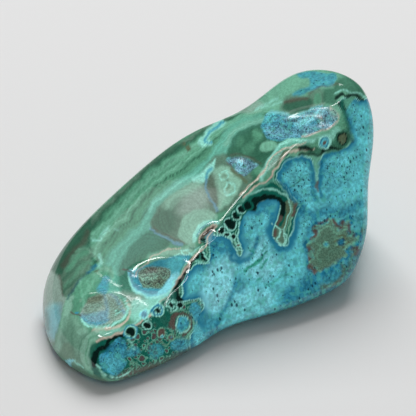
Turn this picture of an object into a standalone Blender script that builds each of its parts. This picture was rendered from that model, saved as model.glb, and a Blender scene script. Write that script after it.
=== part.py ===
"""Polished chrysocolla and malachite freeform stone: one closed solid, about 82 mm long.

The stone is a wedge-like pebble with a low blunt nose at -X and a tall rounded tail at +X.
Its surface is worked out from a point inside it: in every direction the radius is a power
mean of the distances to a set of flat polished faces, so the faces meet in rounded edges.
A second, lower roof over the nose is joined to the main roof where it is the higher one,
which leaves the nose standing as a knob. Soft lumps and hollows and five pits on the
display side are then pushed in along fixed directions, and the underside is cut flat.
Lengths are millimetres here and metres in the finished mesh. +Z is up.
"""
import math

import bmesh
import bpy
import numpy as np

MM = 0.001
NODE_NAME = "stone"

# The mesh: rings run from the flat underside below the nose to the far end of the tail.
RINGS = 72
SECTORS = 96
POLE_TOWARDS = (45.0, 7.0, 17.0)
HEART = (33.0, 13.0, 8.0)
EDGE_POWER = 18.0
BED_CENTRE = (37.1, 15.3)
BED_DROP = 1.5

# Polished faces: azimuth and elevation of the outward normal in degrees, distance in mm
# of the plane from a datum point at the front foot of the nose.
FACES = {
    "underside": (0, -90, 2.2),
    "front": (-95, 32, 1.5),
    "front_foot": (-90, -52, 1.0),
    "nose_front": (-125, 12, 4.6),
    "nose_foot": (-124, -52, 2.5),
    "nose_under": (-163, -46, 2.3),
    "nose_end": (-172, 14, 4.4),
    "nose_corner": (-150, 5, 3.6),
    "nose_brow": (-168, 48, 6.6),
    "nose_brow_front": (-140, 45, 5.6),
    "left_brow": (165, 60, 9.8),
    "nose_left": (158, -13, 10.1),
    "left": (160, 36, 10.6),
    "back_left": (146, 2, 15.2),
    "left_shoulder": (127, 26, 22.4),
    "back": (92, 8, 34.0),
    "back_foot": (90, -40, 21.5),
    "tail_foot": (-50, -28, 34.8),
    "tail_front": (-41, 2, 50.6),
    "tail_upper": (-32, 17, 71.5),
    "tail_cap_front": (-17, 34, 83.7),
    "tail_cap": (2, 49, 88.9),
    "tail_cap_back": (33, 57, 83.4),
    "tail_end": (18, -5, 81.5),
    "tail_back": (50, 5, 74.0),
    "shoulder_tail": (80, 54, 53.4),
    "shoulder_middle": (100, 45, 37.9),
    "shoulder_left": (114, 37, 30.0),
    "roof_middle": (-155, 71, 10.3),
    "roof_tail": (-140, 78, 21.8),
}
MAIN_ROOF = (-155, 59, 0.7)
NOSE_ROOF = (-110, 82, 8.5)
# Reach in mm from the heart that the far tail is rounded to.
TAIL_ROUND = 46.4

# Soft lumps and hollows: centre, reach and push, in mm.
SWELLS = (
    ((69.9, 17.0, 34.0), 13.5, (2.1, -0.3, 3.2)),
    ((30.0, -3.0, 2.0), 10.0, (0.0, 2.4, 0.0)),
    ((56.2, 31.0, 29.6), 11.5, (0.0, -1.0, -2.6)),
    ((74.0, 4.0, 16.0), 8.0, (-0.9, 0.6, 0.0)),
)

# The display side is seen from one fixed direction: turned DISPLAY_TURN from the long axis
# and DISPLAY_RISE above the bed, from DISPLAY_DISTANCE away. Places on it are (across, up)
# in mm from the datum point.
DISPLAY_TURN = 34.5
DISPLAY_RISE = 40.0
DISPLAY_DISTANCE = 420.0

# Pits on the display side: centre, half length, half width, tilt in degrees, depth.
PITS = {
    "eye": ((9.6, 21.3), 5.6, 2.7, 12.0, 1.2),
    "nose_bowl": ((-2.4, 14.2), 5.2, 2.6, 9.0, 1.0),
    "wedge": ((26.6, 43.0), 2.4, 1.7, -12.0, 0.8),
    "long_pocket": ((38.4, 51.6), 7.2, 2.5, 14.0, 1.1),
    "ridge_notch": ((19.8, 29.9), 2.2, 1.3, 40.0, 0.7),
}
PIT_PUSH = (0.47, 0.22, -0.86)


def normal_of(azimuth, elevation):
    """Unit vector at an azimuth and elevation in degrees."""
    turn = math.radians(azimuth)
    rise = math.radians(elevation)
    return np.array([math.cos(rise) * math.cos(turn), math.cos(rise) * math.sin(turn), math.sin(rise)])


def face_power(directions, face):
    """The share one flat face adds to the power mean, for unit directions from the heart."""
    azimuth, elevation, distance = face
    normal = normal_of(azimuth, elevation)
    gap = distance - float(normal @ np.array(HEART))
    return (np.clip(directions @ normal, 0.0, None) / gap) ** EDGE_POWER


def display_place(points):
    """Where points show on the display side: across and up in mm, and their depth."""
    turn = math.radians(DISPLAY_TURN)
    rise = math.radians(DISPLAY_RISE)
    across = np.array([math.cos(turn), -math.sin(turn), 0.0])
    away = np.array([math.sin(turn) * math.cos(rise), math.cos(turn) * math.cos(rise), -math.sin(rise)])
    up = np.cross(across, away)
    depth = points @ away
    shrink = DISPLAY_DISTANCE / (DISPLAY_DISTANCE + depth)
    return (points @ across) * shrink, (points @ up) * shrink, depth


def stone_points(directions):
    """Surface points for unit directions: the faces, then the swells, then the pits."""
    shared = sum(face_power(directions, face) for face in FACES.values())
    main = face_power(directions, MAIN_ROOF) + 1e-60
    nose = face_power(directions, NOSE_ROOF) + 1e-60
    shared += TAIL_ROUND**-EDGE_POWER
    radius = (shared + main * nose / (main + nose)) ** (-1.0 / EDGE_POWER)
    points = np.array(HEART) + radius[..., None] * directions
    for centre, reach, push in SWELLS:
        away = ((points - np.array(centre)) ** 2).sum(axis=-1)
        points = points + np.exp(-away / reach**2)[..., None] * np.array(push)
    across, up, depth = display_place(points)
    facing = 1.0 / (1.0 + np.exp(depth - 12.0 - 0.4 * across))
    for (pit_across, pit_up), half_length, half_width, tilt, sink in PITS.values():
        lean = math.radians(tilt)
        along = (across - pit_across) * math.cos(lean) + (up - pit_up) * math.sin(lean)
        over = (up - pit_up) * math.cos(lean) - (across - pit_across) * math.sin(lean)
        spread = (along / half_length) ** 2 + (over / half_width) ** 2
        shape = np.exp(-(spread**2)) * facing
        points = points + (sink * shape)[..., None] * np.array(PIT_PUSH)
    points[..., 0] -= BED_CENTRE[0]
    points[..., 1] -= BED_CENTRE[1]
    points[..., 2] += BED_DROP
    return points


def ring_directions(rings, sectors):
    """Unit directions on rings about the pole axis, without the two poles themselves."""
    pole = np.array(POLE_TOWARDS) / np.linalg.norm(POLE_TOWARDS)
    side = np.cross(pole, (0.0, 0.0, 1.0))
    side /= np.linalg.norm(side)
    top = np.cross(side, pole)
    polar = np.pi * (np.arange(1, rings + 1) / (rings + 1))
    around = 2.0 * np.pi * np.arange(sectors) / sectors
    polar, around = np.meshgrid(polar, around, indexing="ij")
    flat = np.cos(around)[..., None] * side + np.sin(around)[..., None] * top
    return -np.cos(polar)[..., None] * pole + np.sin(polar)[..., None] * flat, pole


def build_stone():
    """One closed mesh of the stone, with a fan of triangles at each pole."""
    directions, pole = ring_directions(RINGS, SECTORS)
    body = stone_points(directions).reshape(-1, 3)
    ends = stone_points(np.array([-pole, pole]))
    vertices = np.vstack([body, ends]) * MM
    ring, sector = np.meshgrid(np.arange(RINGS - 1), np.arange(SECTORS), indexing="ij")
    beside = (sector + 1) % SECTORS
    here = ring * SECTORS + sector
    there = ring * SECTORS + beside
    quads = np.stack([here, here + SECTORS, there + SECTORS, there], axis=-1).reshape(-1, 4)
    first = np.arange(SECTORS)
    after = (first + 1) % SECTORS
    last = (RINGS - 1) * SECTORS
    start_pole = np.full(SECTORS, len(body))
    end_pole = np.full(SECTORS, len(body) + 1)
    start_fan = np.stack([start_pole, first, after], axis=-1)
    end_fan = np.stack([end_pole, last + after, last + first], axis=-1)
    faces = quads.tolist() + start_fan.tolist() + end_fan.tolist()
    mesh = bpy.data.meshes.new(NODE_NAME)
    mesh.from_pydata(vertices.tolist(), [], faces)
    cut_flat_bed(mesh)
    mesh.validate()
    mesh.update()
    mesh.shade_smooth()
    mesh.set_sharp_from_angle(angle=math.radians(35.0))
    stone = bpy.data.objects.new(NODE_NAME, mesh)
    bpy.context.scene.collection.objects.link(stone)
    mesh.materials.append(stone_material())
    return stone


def cut_flat_bed(mesh):
    """Take off what lies below z = 0 and close the cut with one flat face."""
    work = bmesh.new()
    work.from_mesh(mesh)
    everything = work.verts[:] + work.edges[:] + work.faces[:]
    bmesh.ops.bisect_plane(
        work,
        geom=everything,
        dist=1e-6,
        plane_co=(0.0, 0.0, 0.0),
        plane_no=(0.0, 0.0, -1.0),
        clear_outer=True,
    )
    rim = [edge for edge in work.edges if edge.is_boundary]
    bmesh.ops.dissolve_degenerate(work, dist=3e-5, edges=rim)
    rim = [edge for edge in work.edges if edge.is_boundary]
    bmesh.ops.contextual_create(work, geom=rim)
    bmesh.ops.recalc_face_normals(work, faces=work.faces[:])
    work.to_mesh(mesh)
    work.free()


def stone_material():
    """Plain polished blue-green stone."""
    material = bpy.data.materials.new("polished_stone")
    material.use_nodes = True
    shader = material.node_tree.nodes["Principled BSDF"]
    shader.inputs["Base Color"].default_value = (0.10, 0.36, 0.35, 1.0)
    shader.inputs["Roughness"].default_value = 0.18
    shader.inputs["Metallic"].default_value = 0.0
    return material


for old in list(bpy.data.objects):
    bpy.data.objects.remove(old, do_unlink=True)
build_stone()
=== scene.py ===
"""Polished chrysocolla and malachite stone on a studio floor, with its lights and camera.

The stone's surface is the same formula as the solid's: in every direction from a point
inside, the radius is a power mean of the distances to a set of polished faces, then soft
swells and pits are pushed in. Here it is sampled on a dense grid, and its markings are
laid on the grid's points as coats of named pigments, in millimetres on the display side.
Lengths are millimetres up to the finished meshes, which are in metres. +Z is up.
"""

import math

import bpy
import numpy as np
from mathutils import Matrix, Vector


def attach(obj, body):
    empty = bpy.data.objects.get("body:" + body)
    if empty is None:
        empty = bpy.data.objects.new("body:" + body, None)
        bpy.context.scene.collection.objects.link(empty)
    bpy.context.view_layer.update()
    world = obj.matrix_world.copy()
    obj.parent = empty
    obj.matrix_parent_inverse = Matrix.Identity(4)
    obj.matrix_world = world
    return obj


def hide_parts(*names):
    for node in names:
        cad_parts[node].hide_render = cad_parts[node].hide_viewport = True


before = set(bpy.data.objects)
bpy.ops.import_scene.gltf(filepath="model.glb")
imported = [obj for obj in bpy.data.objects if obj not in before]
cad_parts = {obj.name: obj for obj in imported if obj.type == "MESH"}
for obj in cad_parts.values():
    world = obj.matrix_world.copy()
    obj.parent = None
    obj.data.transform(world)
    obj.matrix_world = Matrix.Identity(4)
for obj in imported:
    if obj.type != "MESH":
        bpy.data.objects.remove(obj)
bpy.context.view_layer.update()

bl_info = {
    "name": "Polished Chrysocolla Stone",
    "version": (1, 0, 0),
    "blender": (4, 5, 0),
    "location": "View3D > Sidebar > Stone",
    "description": "Makes a polished chrysocolla and malachite freeform with its studio floor and lights",
    "category": "Add Mesh",
}

MM = 0.001

# ---------------------------------------------------------------- shape of the stone
# Places are in mm from a datum point at the front foot of the nose, until the mesh is made.
# The point inside that the radius starts from, and the power of the mean.
HEART = (33.0, 13.0, 8.0)
EDGE_POWER = 18.0
# The centre of the bed, where the frame starts, and how far it lies below the datum point.
BED_CENTRE = (37.1, 15.3)
BED_DROP = 1.5
# The way from nose to tail that the grid's poles lie along.
POLE_TOWARDS = (45.0, 7.0, 17.0)

# Polished faces: azimuth and elevation of the outward normal in degrees, distance in mm
# of the plane from the datum point.
FACES = {
    "underside": (0, -90, 2.2),
    "front": (-95, 32, 1.5),
    "front_foot": (-90, -52, 1.0),
    "nose_front": (-125, 12, 4.6),
    "nose_foot": (-124, -52, 2.5),
    "nose_under": (-163, -46, 2.3),
    "nose_end": (-172, 14, 4.4),
    "nose_corner": (-150, 5, 3.6),
    "nose_brow": (-168, 48, 6.6),
    "nose_brow_front": (-140, 45, 5.6),
    "left_brow": (165, 60, 9.8),
    "nose_left": (158, -13, 10.1),
    "left": (160, 36, 10.6),
    "back_left": (146, 2, 15.2),
    "left_shoulder": (127, 26, 22.4),
    "back": (92, 8, 34.0),
    "back_foot": (90, -40, 21.5),
    "tail_foot": (-50, -28, 34.8),
    "tail_front": (-41, 2, 50.6),
    "tail_upper": (-32, 17, 71.5),
    "tail_cap_front": (-17, 34, 83.7),
    "tail_cap": (2, 49, 88.9),
    "tail_cap_back": (33, 57, 83.4),
    "tail_end": (18, -5, 81.5),
    "tail_back": (50, 5, 74.0),
    "shoulder_tail": (80, 54, 53.4),
    "shoulder_middle": (100, 45, 37.9),
    "shoulder_left": (114, 37, 30.0),
    "roof_middle": (-155, 71, 10.3),
    "roof_tail": (-140, 78, 21.8),
}
MAIN_ROOF = (-155, 59, 0.7)
NOSE_ROOF = (-110, 82, 8.5)
# Reach in mm from the heart that the far tail is rounded to.
TAIL_ROUND = 46.4
# Least share of each roof, so that the two can be joined where neither is faced.
LEAST_SHARE = 1e-60

# Soft lumps and hollows: centre, reach and push, in mm.
SWELLS = (
    ((69.9, 17.0, 34.0), 13.5, (2.1, -0.3, 3.2)),
    ((30.0, -3.0, 2.0), 10.0, (0.0, 2.4, 0.0)),
    ((56.2, 31.0, 29.6), 11.5, (0.0, -1.0, -2.6)),
    ((74.0, 4.0, 16.0), 8.0, (-0.9, 0.6, 0.0)),
)

# The display side is seen from one fixed direction: turned DISPLAY_TURN from the long axis
# and DISPLAY_RISE above the bed, from DISPLAY_DISTANCE away. Places on it are (across, up)
# in mm from the datum point.
DISPLAY_TURN = 34.5
DISPLAY_RISE = 40.0
DISPLAY_DISTANCE = 420.0

# Pits on the display side: centre, half length, half width, tilt in degrees, depth.
PITS = {
    "eye": ((9.6, 21.3), 5.6, 2.7, 12.0, 1.2),
    "nose_bowl": ((-2.4, 14.2), 5.2, 2.6, 9.0, 1.0),
    "wedge": ((26.6, 43.0), 2.4, 1.7, -12.0, 0.8),
    "long_pocket": ((38.4, 51.6), 7.2, 2.5, 14.0, 1.1),
    "ridge_notch": ((19.8, 29.9), 2.2, 1.3, 40.0, 0.7),
}
PIT_PUSH = (0.47, 0.22, -0.86)
# Depth in mm behind the datum point past which a pit fades out, and its growth per mm across.
PIT_FADE_DEPTH = 12.0
PIT_FADE_SLOPE = 0.4


def normal_of(azimuth, elevation):
    """Unit vector at an azimuth and elevation in degrees."""
    turn = math.radians(azimuth)
    rise = math.radians(elevation)
    level = math.cos(rise)
    return np.array([level * math.cos(turn), level * math.sin(turn), math.sin(rise)])


def face_power(directions, face):
    """The share one flat face adds to the power mean, for unit directions from the heart."""
    azimuth, elevation, distance = face
    normal = normal_of(azimuth, elevation)
    gap = distance - float(normal @ np.array(HEART))
    return (np.clip(directions @ normal, 0.0, None) / gap) ** EDGE_POWER


def display_axes():
    """Unit vectors of the display view: across, away from the viewer, and up."""
    turn = math.radians(DISPLAY_TURN)
    rise = math.radians(DISPLAY_RISE)
    across = np.array([math.cos(turn), -math.sin(turn), 0.0])
    level = math.cos(rise)
    away = np.array([math.sin(turn) * level, math.cos(turn) * level, -math.sin(rise)])
    return across, away, np.cross(across, away)


def display_place(points):
    """Where points show on the display side: across and up in mm, and their depth."""
    across, away, up = display_axes()
    depth = points @ away
    shrink = DISPLAY_DISTANCE / (DISPLAY_DISTANCE + depth)
    return (points @ across) * shrink, (points @ up) * shrink, depth


def stone_points(directions):
    """Surface points for unit directions: the faces, then the swells, then the pits."""
    shared = sum(face_power(directions, face) for face in FACES.values())
    main = face_power(directions, MAIN_ROOF) + LEAST_SHARE
    nose = face_power(directions, NOSE_ROOF) + LEAST_SHARE
    shared += TAIL_ROUND**-EDGE_POWER
    radius = (shared + main * nose / (main + nose)) ** (-1.0 / EDGE_POWER)
    points = np.array(HEART) + radius[..., None] * directions
    for centre, reach, push in SWELLS:
        away = ((points - np.array(centre)) ** 2).sum(axis=-1)
        points = points + np.exp(-away / reach**2)[..., None] * np.array(push)
    across, up, depth = display_place(points)
    facing = 1.0 / (1.0 + np.exp(depth - PIT_FADE_DEPTH - PIT_FADE_SLOPE * across))
    for (pit_across, pit_up), half_length, half_width, tilt, sink in PITS.values():
        lean = math.radians(tilt)
        along = (across - pit_across) * math.cos(lean) + (up - pit_up) * math.sin(lean)
        over = (up - pit_up) * math.cos(lean) - (across - pit_across) * math.sin(lean)
        spread = (along / half_length) ** 2 + (over / half_width) ** 2
        shape = np.exp(-(spread**2)) * facing
        points = points + (sink * shape)[..., None] * np.array(PIT_PUSH)
    return points


# ---------------------------------------------------------------- the dense grid
SECTORS = 336
RINGS = 295
DISPLAY_BEARING = math.radians(55.0)
DISPLAY_CROWDING = 0.70
# Samples of the two curves that the spacing is read from, and the meridians that the rings
# are spaced by: how many, and how far in degrees to each side of the display bearing.
BEARING_SAMPLES = 4001
POLAR_SAMPLES = 721
MERIDIANS = 15
MERIDIAN_REACH = 70.0


def pole_frame():
    """The pole axis and the two unit vectors square to it, the first one level."""
    pole = np.array(POLE_TOWARDS) / np.linalg.norm(POLE_TOWARDS)
    side = np.cross(pole, (0.0, 0.0, 1.0))
    side /= np.linalg.norm(side)
    return pole, side, np.cross(side, pole)


def direction_at(polar, around):
    """Unit directions at polar angles from the nose pole and bearings around the axis."""
    pole, side, top = pole_frame()
    flat = np.cos(around)[..., None] * side + np.sin(around)[..., None] * top
    return -np.cos(polar)[..., None] * pole + np.sin(polar)[..., None] * flat


def crowded_bearings(count):
    """Bearings closest on the display side: the inverse of t + crowding * sin(t)."""
    fine = np.linspace(-np.pi, np.pi, BEARING_SAMPLES)
    share = (fine + DISPLAY_CROWDING * np.sin(fine)) / (2.0 * np.pi) + 0.5
    return DISPLAY_BEARING + np.interp(np.arange(count + 1) / count, share, fine)


def evened_polars(count):
    """Polar angles at even steps of arc length, averaged over the display side's meridians."""
    polar = np.linspace(0.0, np.pi, POLAR_SAMPLES)
    beside = np.linspace(-MERIDIAN_REACH, MERIDIAN_REACH, MERIDIANS)
    bearings = DISPLAY_BEARING + np.radians(beside)
    line = stone_points(direction_at(*np.meshgrid(polar, bearings, indexing="ij")))
    steps = np.linalg.norm(np.diff(line, axis=0), axis=-1).mean(axis=1)
    length = np.concatenate([[0.0], np.cumsum(steps)])
    return np.interp(np.linspace(0.0, length[-1], count + 2)[1:-1], length, polar)


def stone_grid():
    """Points of the closed surface, its quads and end fans, and a map value for each corner."""
    bearings = crowded_bearings(SECTORS)[:-1]
    polars = evened_polars(RINGS)
    body = stone_points(direction_at(*np.meshgrid(polars, bearings, indexing="ij")))
    pole = pole_frame()[0]
    ends = stone_points(np.array([-pole, pole]))
    points = np.vstack([body.reshape(-1, 3), ends])
    ring, sector = np.meshgrid(np.arange(RINGS - 1), np.arange(SECTORS), indexing="ij")
    beside = (sector + 1) % SECTORS
    here = ring * SECTORS + sector
    there = ring * SECTORS + beside
    quads = np.stack([here, here + SECTORS, there + SECTORS, there], axis=-1).reshape(-1, 4)
    first = np.arange(SECTORS)
    after = (first + 1) % SECTORS
    last = (RINGS - 1) * SECTORS
    start_tip = np.full(SECTORS, SECTORS * RINGS)
    start_fan = np.stack([start_tip, first, after], axis=-1)
    end_fan = np.stack([start_tip + 1, last + after, last + first], axis=-1)
    left = (sector / SECTORS).ravel()
    right = ((sector + 1) / SECTORS).ravel()
    low = ((ring + 1) / (RINGS + 1)).ravel()
    high = ((ring + 2) / (RINGS + 1)).ravel()
    quad_map = np.stack([left, low, left, high, right, high, right, low], axis=-1).reshape(-1, 2)
    share = first / SECTORS
    middle = share + 0.5 / SECTORS
    beyond = share + 1.0 / SECTORS
    edge = np.full(SECTORS, 1.0 / (RINGS + 1))
    zero = np.zeros(SECTORS)
    start_map = np.stack([middle, zero, share, edge, beyond, edge], axis=-1)
    end_map = np.stack([middle, 1 - zero, beyond, 1 - edge, share, 1 - edge], axis=-1)
    corner_map = np.vstack([quad_map, start_map.reshape(-1, 2), end_map.reshape(-1, 2)])
    return points, (quads, start_fan, end_fan), corner_map


# ---------------------------------------------------------------- pigments
# Each is (red, green, blue) as on a screen, 0 to 255, and what it stands for.
PIGMENTS = {
    "black_green": ((10, 32, 28), "Almost black malachite in beads and outlines"),
    "dark_green": ((48, 96, 76), "Dark malachite"),
    "deep_teal": ((18, 92, 78), "Blue-green ground along the ridge"),
    "mid_green": ((84, 146, 118), "Malachite body colour"),
    "light_green": ((112, 174, 148), "Light malachite bands"),
    "pale_green": ((134, 184, 162), "Palest malachite lobes"),
    "aqua": ((98, 170, 150), "Aqua band round the malachite lobes"),
    "mint": ((150, 224, 208), "Mint lines at the contact of the two minerals"),
    "grey_green": ((88, 122, 104), "Dull malachite"),
    # Milky grey: the own grey of pit floors, and also painted sheen that stands in for reflected light on
    # the roof, the left facet and beside the nose bowl.
    "haze": ((142, 168, 156), "Milky grey patches"),
    "turquoise": ((92, 186, 196), "Chrysocolla body colour"),
    "pale_blue": ((132, 212, 222), "Lightest chrysocolla"),
    "mid_blue": ((62, 146, 166), "Medium chrysocolla"),
    "deep_blue": ((34, 116, 144), "Deep blue outlines of the chrysocolla"),
    "sea_green": ((40, 138, 116), "Green streaks in the chrysocolla"),
    # Painted shade: a dark teal for the lower edge, where the face turns under towards the floor.
    "painted_shade_teal": ((20, 72, 82), "Dark lower edge of the chrysocolla"),
    "slate_blue": ((98, 146, 162), "Greyish blue veins"),
    "navy": ((28, 60, 84), "Dark specks in the chrysocolla"),
    "brown": ((88, 76, 70), "Brown iron-stained matrix"),
    "olive": ((84, 100, 76), "Olive matrix"),
    # Painted highlight: pale beige lines along ridges and pit rims that stand in for lights reflected on
    # rounded edges.
    "beige": ((196, 184, 168), "Worn pale edge lines"),
}


def linear(screen):
    """Linear colour of a 0 to 255 screen colour, by the sRGB curve."""
    value = np.array(screen) / 255.0
    return tuple(np.where(value <= 0.04045, value / 12.92, ((value + 0.055) / 1.055) ** 2.4))


def pigment_field(key):
    """A colour property for one pigment."""
    screen, meaning = PIGMENTS[key]
    return bpy.props.FloatVectorProperty(
        name=key.replace("_", " ").capitalize(),
        description=meaning,
        default=linear(screen),
        min=0.0,
        max=1.0,
        size=3,
        subtype="COLOR",
    )


class StonePigments(bpy.types.PropertyGroup):
    """The named mineral colours that the markings are laid in."""

    __annotations__ = {key: pigment_field(key) for key in PIGMENTS}


# ---------------------------------------------------------------- laying colour on the surface
# How squarely a point faces the viewer, as a cosine, where the markings reach full strength.
FULL_FACING = 0.12
# Softness in mm of the edges of rims and of beads, and how far in mm beyond a patch or a
# bead points are still looked at.
RIM_SOFT = 0.12
BEAD_SOFT = 0.2
PATCH_ROOM = 0.3
BEAD_ROOM = 0.4
# Straight pieces between two corners of a drawn line.
LINE_PARTS = 4
# Smooth noise: how many waves are summed, and the span of their pace.
WAVE_COUNT = 28
WAVE_PACES = (0.6, 1.6)
# Wobble of the drawn edges: wave size in mm, swing in mm, and seeds for across and for up.
WOBBLES = ((3.2, 0.11, 11, 12), (1.1, 0.045, 13, 14))


class Skin:
    """The surface's points, where they show on the display side, and the coat laid so far."""

    def __init__(self, points, normals, pigments):
        across, up, _ = display_place(points)
        viewer = -display_axes()[1] * DISPLAY_DISTANCE
        toward = viewer - points
        toward /= np.linalg.norm(toward, axis=-1, keepdims=True)
        facing = (toward * normals).sum(axis=-1)
        self.points = points
        self.pigments = pigments
        self.seen = smooth_step(facing, 0.0, FULL_FACING)
        self.place = across + 1j * up + wobble(points)
        self.colour = np.zeros((len(points), 3))
        self.dashes, self.fibres, self.grain = np.zeros((3, len(points)))
        self.knots, self.layers = np.zeros((2, len(points)))

    def pigment(self, key):
        """Linear colour of a named pigment."""
        return np.array(getattr(self.pigments, key))

    def lay(self, key, cover, rows=None):
        """Mix a pigment over the coat, by a cover from 0 to 1 at each point."""
        rows = slice(None) if rows is None else rows
        share = np.clip(cover, 0.0, 1.0)[:, None]
        self.colour[rows] += share * (self.pigment(key) - self.colour[rows])
        self.knots[rows] *= 1.0 - share[:, 0]

    def texture(self, rows, cover, dashes, fibres, grain):
        """Turn the texture of some rows to these strengths, by a cover from 0 to 1."""
        for part, aim in ((self.dashes, dashes), (self.fibres, fibres), (self.grain, grain)):
            part[rows] += cover * (aim - part[rows])

    def ring_about(self, centre, rows, cover, pace):
        """Turn the growth layers of some rows into rings about a centre."""
        away = pace * abs(self.place[rows] - complex(*centre))
        inside = cover > 0.5
        self.layers[rows] = np.where(inside, away, self.layers[rows])

    def near(self, line, reach):
        """Rows of the seen points within reach of a line's box."""
        across, up = self.place.real, self.place.imag
        wide = (across > line.real.min() - reach) & (across < line.real.max() + reach)
        tall = (up > line.imag.min() - reach) & (up < line.imag.max() + reach)
        return np.flatnonzero(wide & tall & (self.seen > 0.0))

    def stroke(self, key, corners, width, soft, strength):
        """A line of a pigment through the corners, width mm wide, with edges soft mm wide."""
        line = flowing(corners, closed=False)
        rows = self.near(line, width + soft)
        distance = line_distance(self.place[rows], line) - width / 2
        cover = edge_cover(distance, soft) * self.seen[rows] * strength
        self.lay(key, cover, rows)

    def patch(self, key, corners, soft, strength=1.0, rims=()):
        """A filled area of a pigment, with rims of (pigment, from mm, to mm) outside its edge."""
        line = flowing(corners, closed=True)
        reach = max([soft] + [stop for _, _, stop in rims]) + PATCH_ROOM
        rows = self.near(line, reach)
        distance = area_distance(self.place[rows], line)
        seen = self.seen[rows]
        for rim_key, start, stop in rims:
            middle = (start + stop) / 2
            cover = edge_cover(abs(distance - middle) - (stop - start) / 2, RIM_SOFT)
            self.lay(rim_key, cover * seen, rows)
        cover = edge_cover(distance, soft) * seen * strength
        self.lay(key, cover, rows)
        return rows, distance, cover

    def bead(self, key, centre, radius, rings):
        """A round spot with rings outside it, each (pigment, width in mm), from the inside out."""
        middle = complex(*centre)
        outer = sum(width for _, width in rings)
        rows = self.near(np.array([middle]), radius + outer + BEAD_ROOM)
        distance = abs(self.place[rows] - middle) - radius
        seen = self.seen[rows]
        for ring_key, width in reversed(rings):
            self.lay(ring_key, edge_cover(distance - outer, BEAD_SOFT) * seen, rows)
            outer -= width
        self.lay(key, edge_cover(distance, BEAD_SOFT) * seen, rows)


def smooth_step(value, low, high):
    """0 below low, 1 above high, and a smooth rise between."""
    share = np.clip((value - low) / (high - low), 0.0, 1.0)
    return share * share * (3.0 - 2.0 * share)


def edge_cover(distance, soft):
    """1 inside an edge and 0 outside it, over a strip soft mm wide."""
    return 1.0 - smooth_step(distance, -soft / 2, soft / 2)


def waves(points, size, seed):
    """Smooth noise of about unit swing: the sum of sine waves in random directions."""
    draw = np.random.default_rng(seed)
    heading = draw.normal(size=(WAVE_COUNT, 3))
    heading /= np.linalg.norm(heading, axis=1, keepdims=True)
    pace = 2.0 * np.pi / (size * draw.uniform(*WAVE_PACES, WAVE_COUNT))
    phase = draw.uniform(0.0, 2.0 * np.pi, WAVE_COUNT)
    total = np.zeros(len(points))
    for axis, rate, start in zip(heading, pace, phase):
        total += np.sin((points @ axis) * rate + start)
    return total / math.sqrt(WAVE_COUNT / 2.0)


def wobble(points):
    """Small shifts in mm, as complex numbers, that make drawn edges run as grown ones do."""
    shift = np.zeros(len(points), complex)
    for size, swing, across_seed, up_seed in WOBBLES:
        shift += swing * (waves(points, size, across_seed) + 1j * waves(points, size, up_seed))
    return shift


def flowing(corners, closed):
    """A smooth line through the corners, by Catmull-Rom pieces, as complex numbers."""
    spots = np.array([complex(*corner) for corner in corners])
    if closed:
        spots = np.concatenate([spots[-1:], spots, spots[:2]])
    else:
        before, after = 2 * spots[:1] - spots[1:2], 2 * spots[-1:] - spots[-2:-1]
        spots = np.concatenate([before, spots, after])
    share = np.arange(LINE_PARTS) / LINE_PARTS
    before, start, stop, after = (spots[k : len(spots) - 3 + k, None] for k in range(4))
    line = 0.5 * (
        2 * start
        + (stop - before) * share
        + (2 * before - 5 * start + 4 * stop - after) * share**2
        + (3 * start - before - 3 * stop + after) * share**3
    )
    return np.concatenate([line.ravel(), spots[-2:-1]])


def line_distance(place, line):
    """Distance in mm from each place to the straight pieces of a line."""
    nearest = np.full(place.shape, np.inf)
    for start, stop in zip(line[:-1], line[1:]):
        run = stop - start
        along = ((place - start) * run.conjugate()).real
        share = np.clip(along / (abs(run) ** 2 + 1e-12), 0.0, 1.0)
        nearest = np.minimum(nearest, abs(place - start - share * run))
    return nearest


def area_distance(place, line):
    """Distance in mm to a closed line, negative inside it, by counting crossings."""
    inside = np.zeros(place.shape, bool)
    for start, stop in zip(line[:-1], line[1:]):
        straddles = (start.imag > place.imag) != (stop.imag > place.imag)
        rise = stop.imag - start.imag
        rise = rise if abs(rise) > 1e-9 else 1e-9
        crossing = start.real + (place.imag - start.imag) / rise * (stop.real - start.real)
        inside ^= straddles & (place.real < crossing)
    distance = line_distance(place, line)
    return np.where(inside, -distance, distance)


# ---------------------------------------------------------------- markings
# Every place below is (across, up) in mm on the display side.
ROOF_OUTER = (
    (-12.4, 16.6), (-11, 24.2), (-8, 28.6), (-4, 33), (0, 37), (5, 41.6), (10, 46), (15, 49), (20, 51.8),
    (24.4, 53.4), (30.4, 55.8),
)
ROOF_INNER = (
    (0.4, 19.6), (1.6, 24.2), (4, 27.4), (7.2, 29.6), (8, 31.4), (8.6, 33.2), (9.6, 35), (11.6, 37),
    (14, 38.6), (16.4, 40), (19, 42.2), (21.2, 45), (22.8, 47.4), (25, 49.6), (28, 51.4), (30.4, 52.2),
)
# Pigments at shares of the way from the roof's outer line to its inner one, blended between.
ROOF_BANDS = (
    (0.0, "mid_green"), (0.1, "grey_green"), (0.18, "dark_green"), (0.24, "mid_green"),
    (0.34, "light_green"), (0.46, "mid_green"), (0.5, "light_green"), (0.58, "mid_green"),
    (0.62, "dark_green"), (0.65, "mid_green"), (0.76, "mid_green"), (0.84, "aqua"), (1.0, "aqua"),
)

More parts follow.
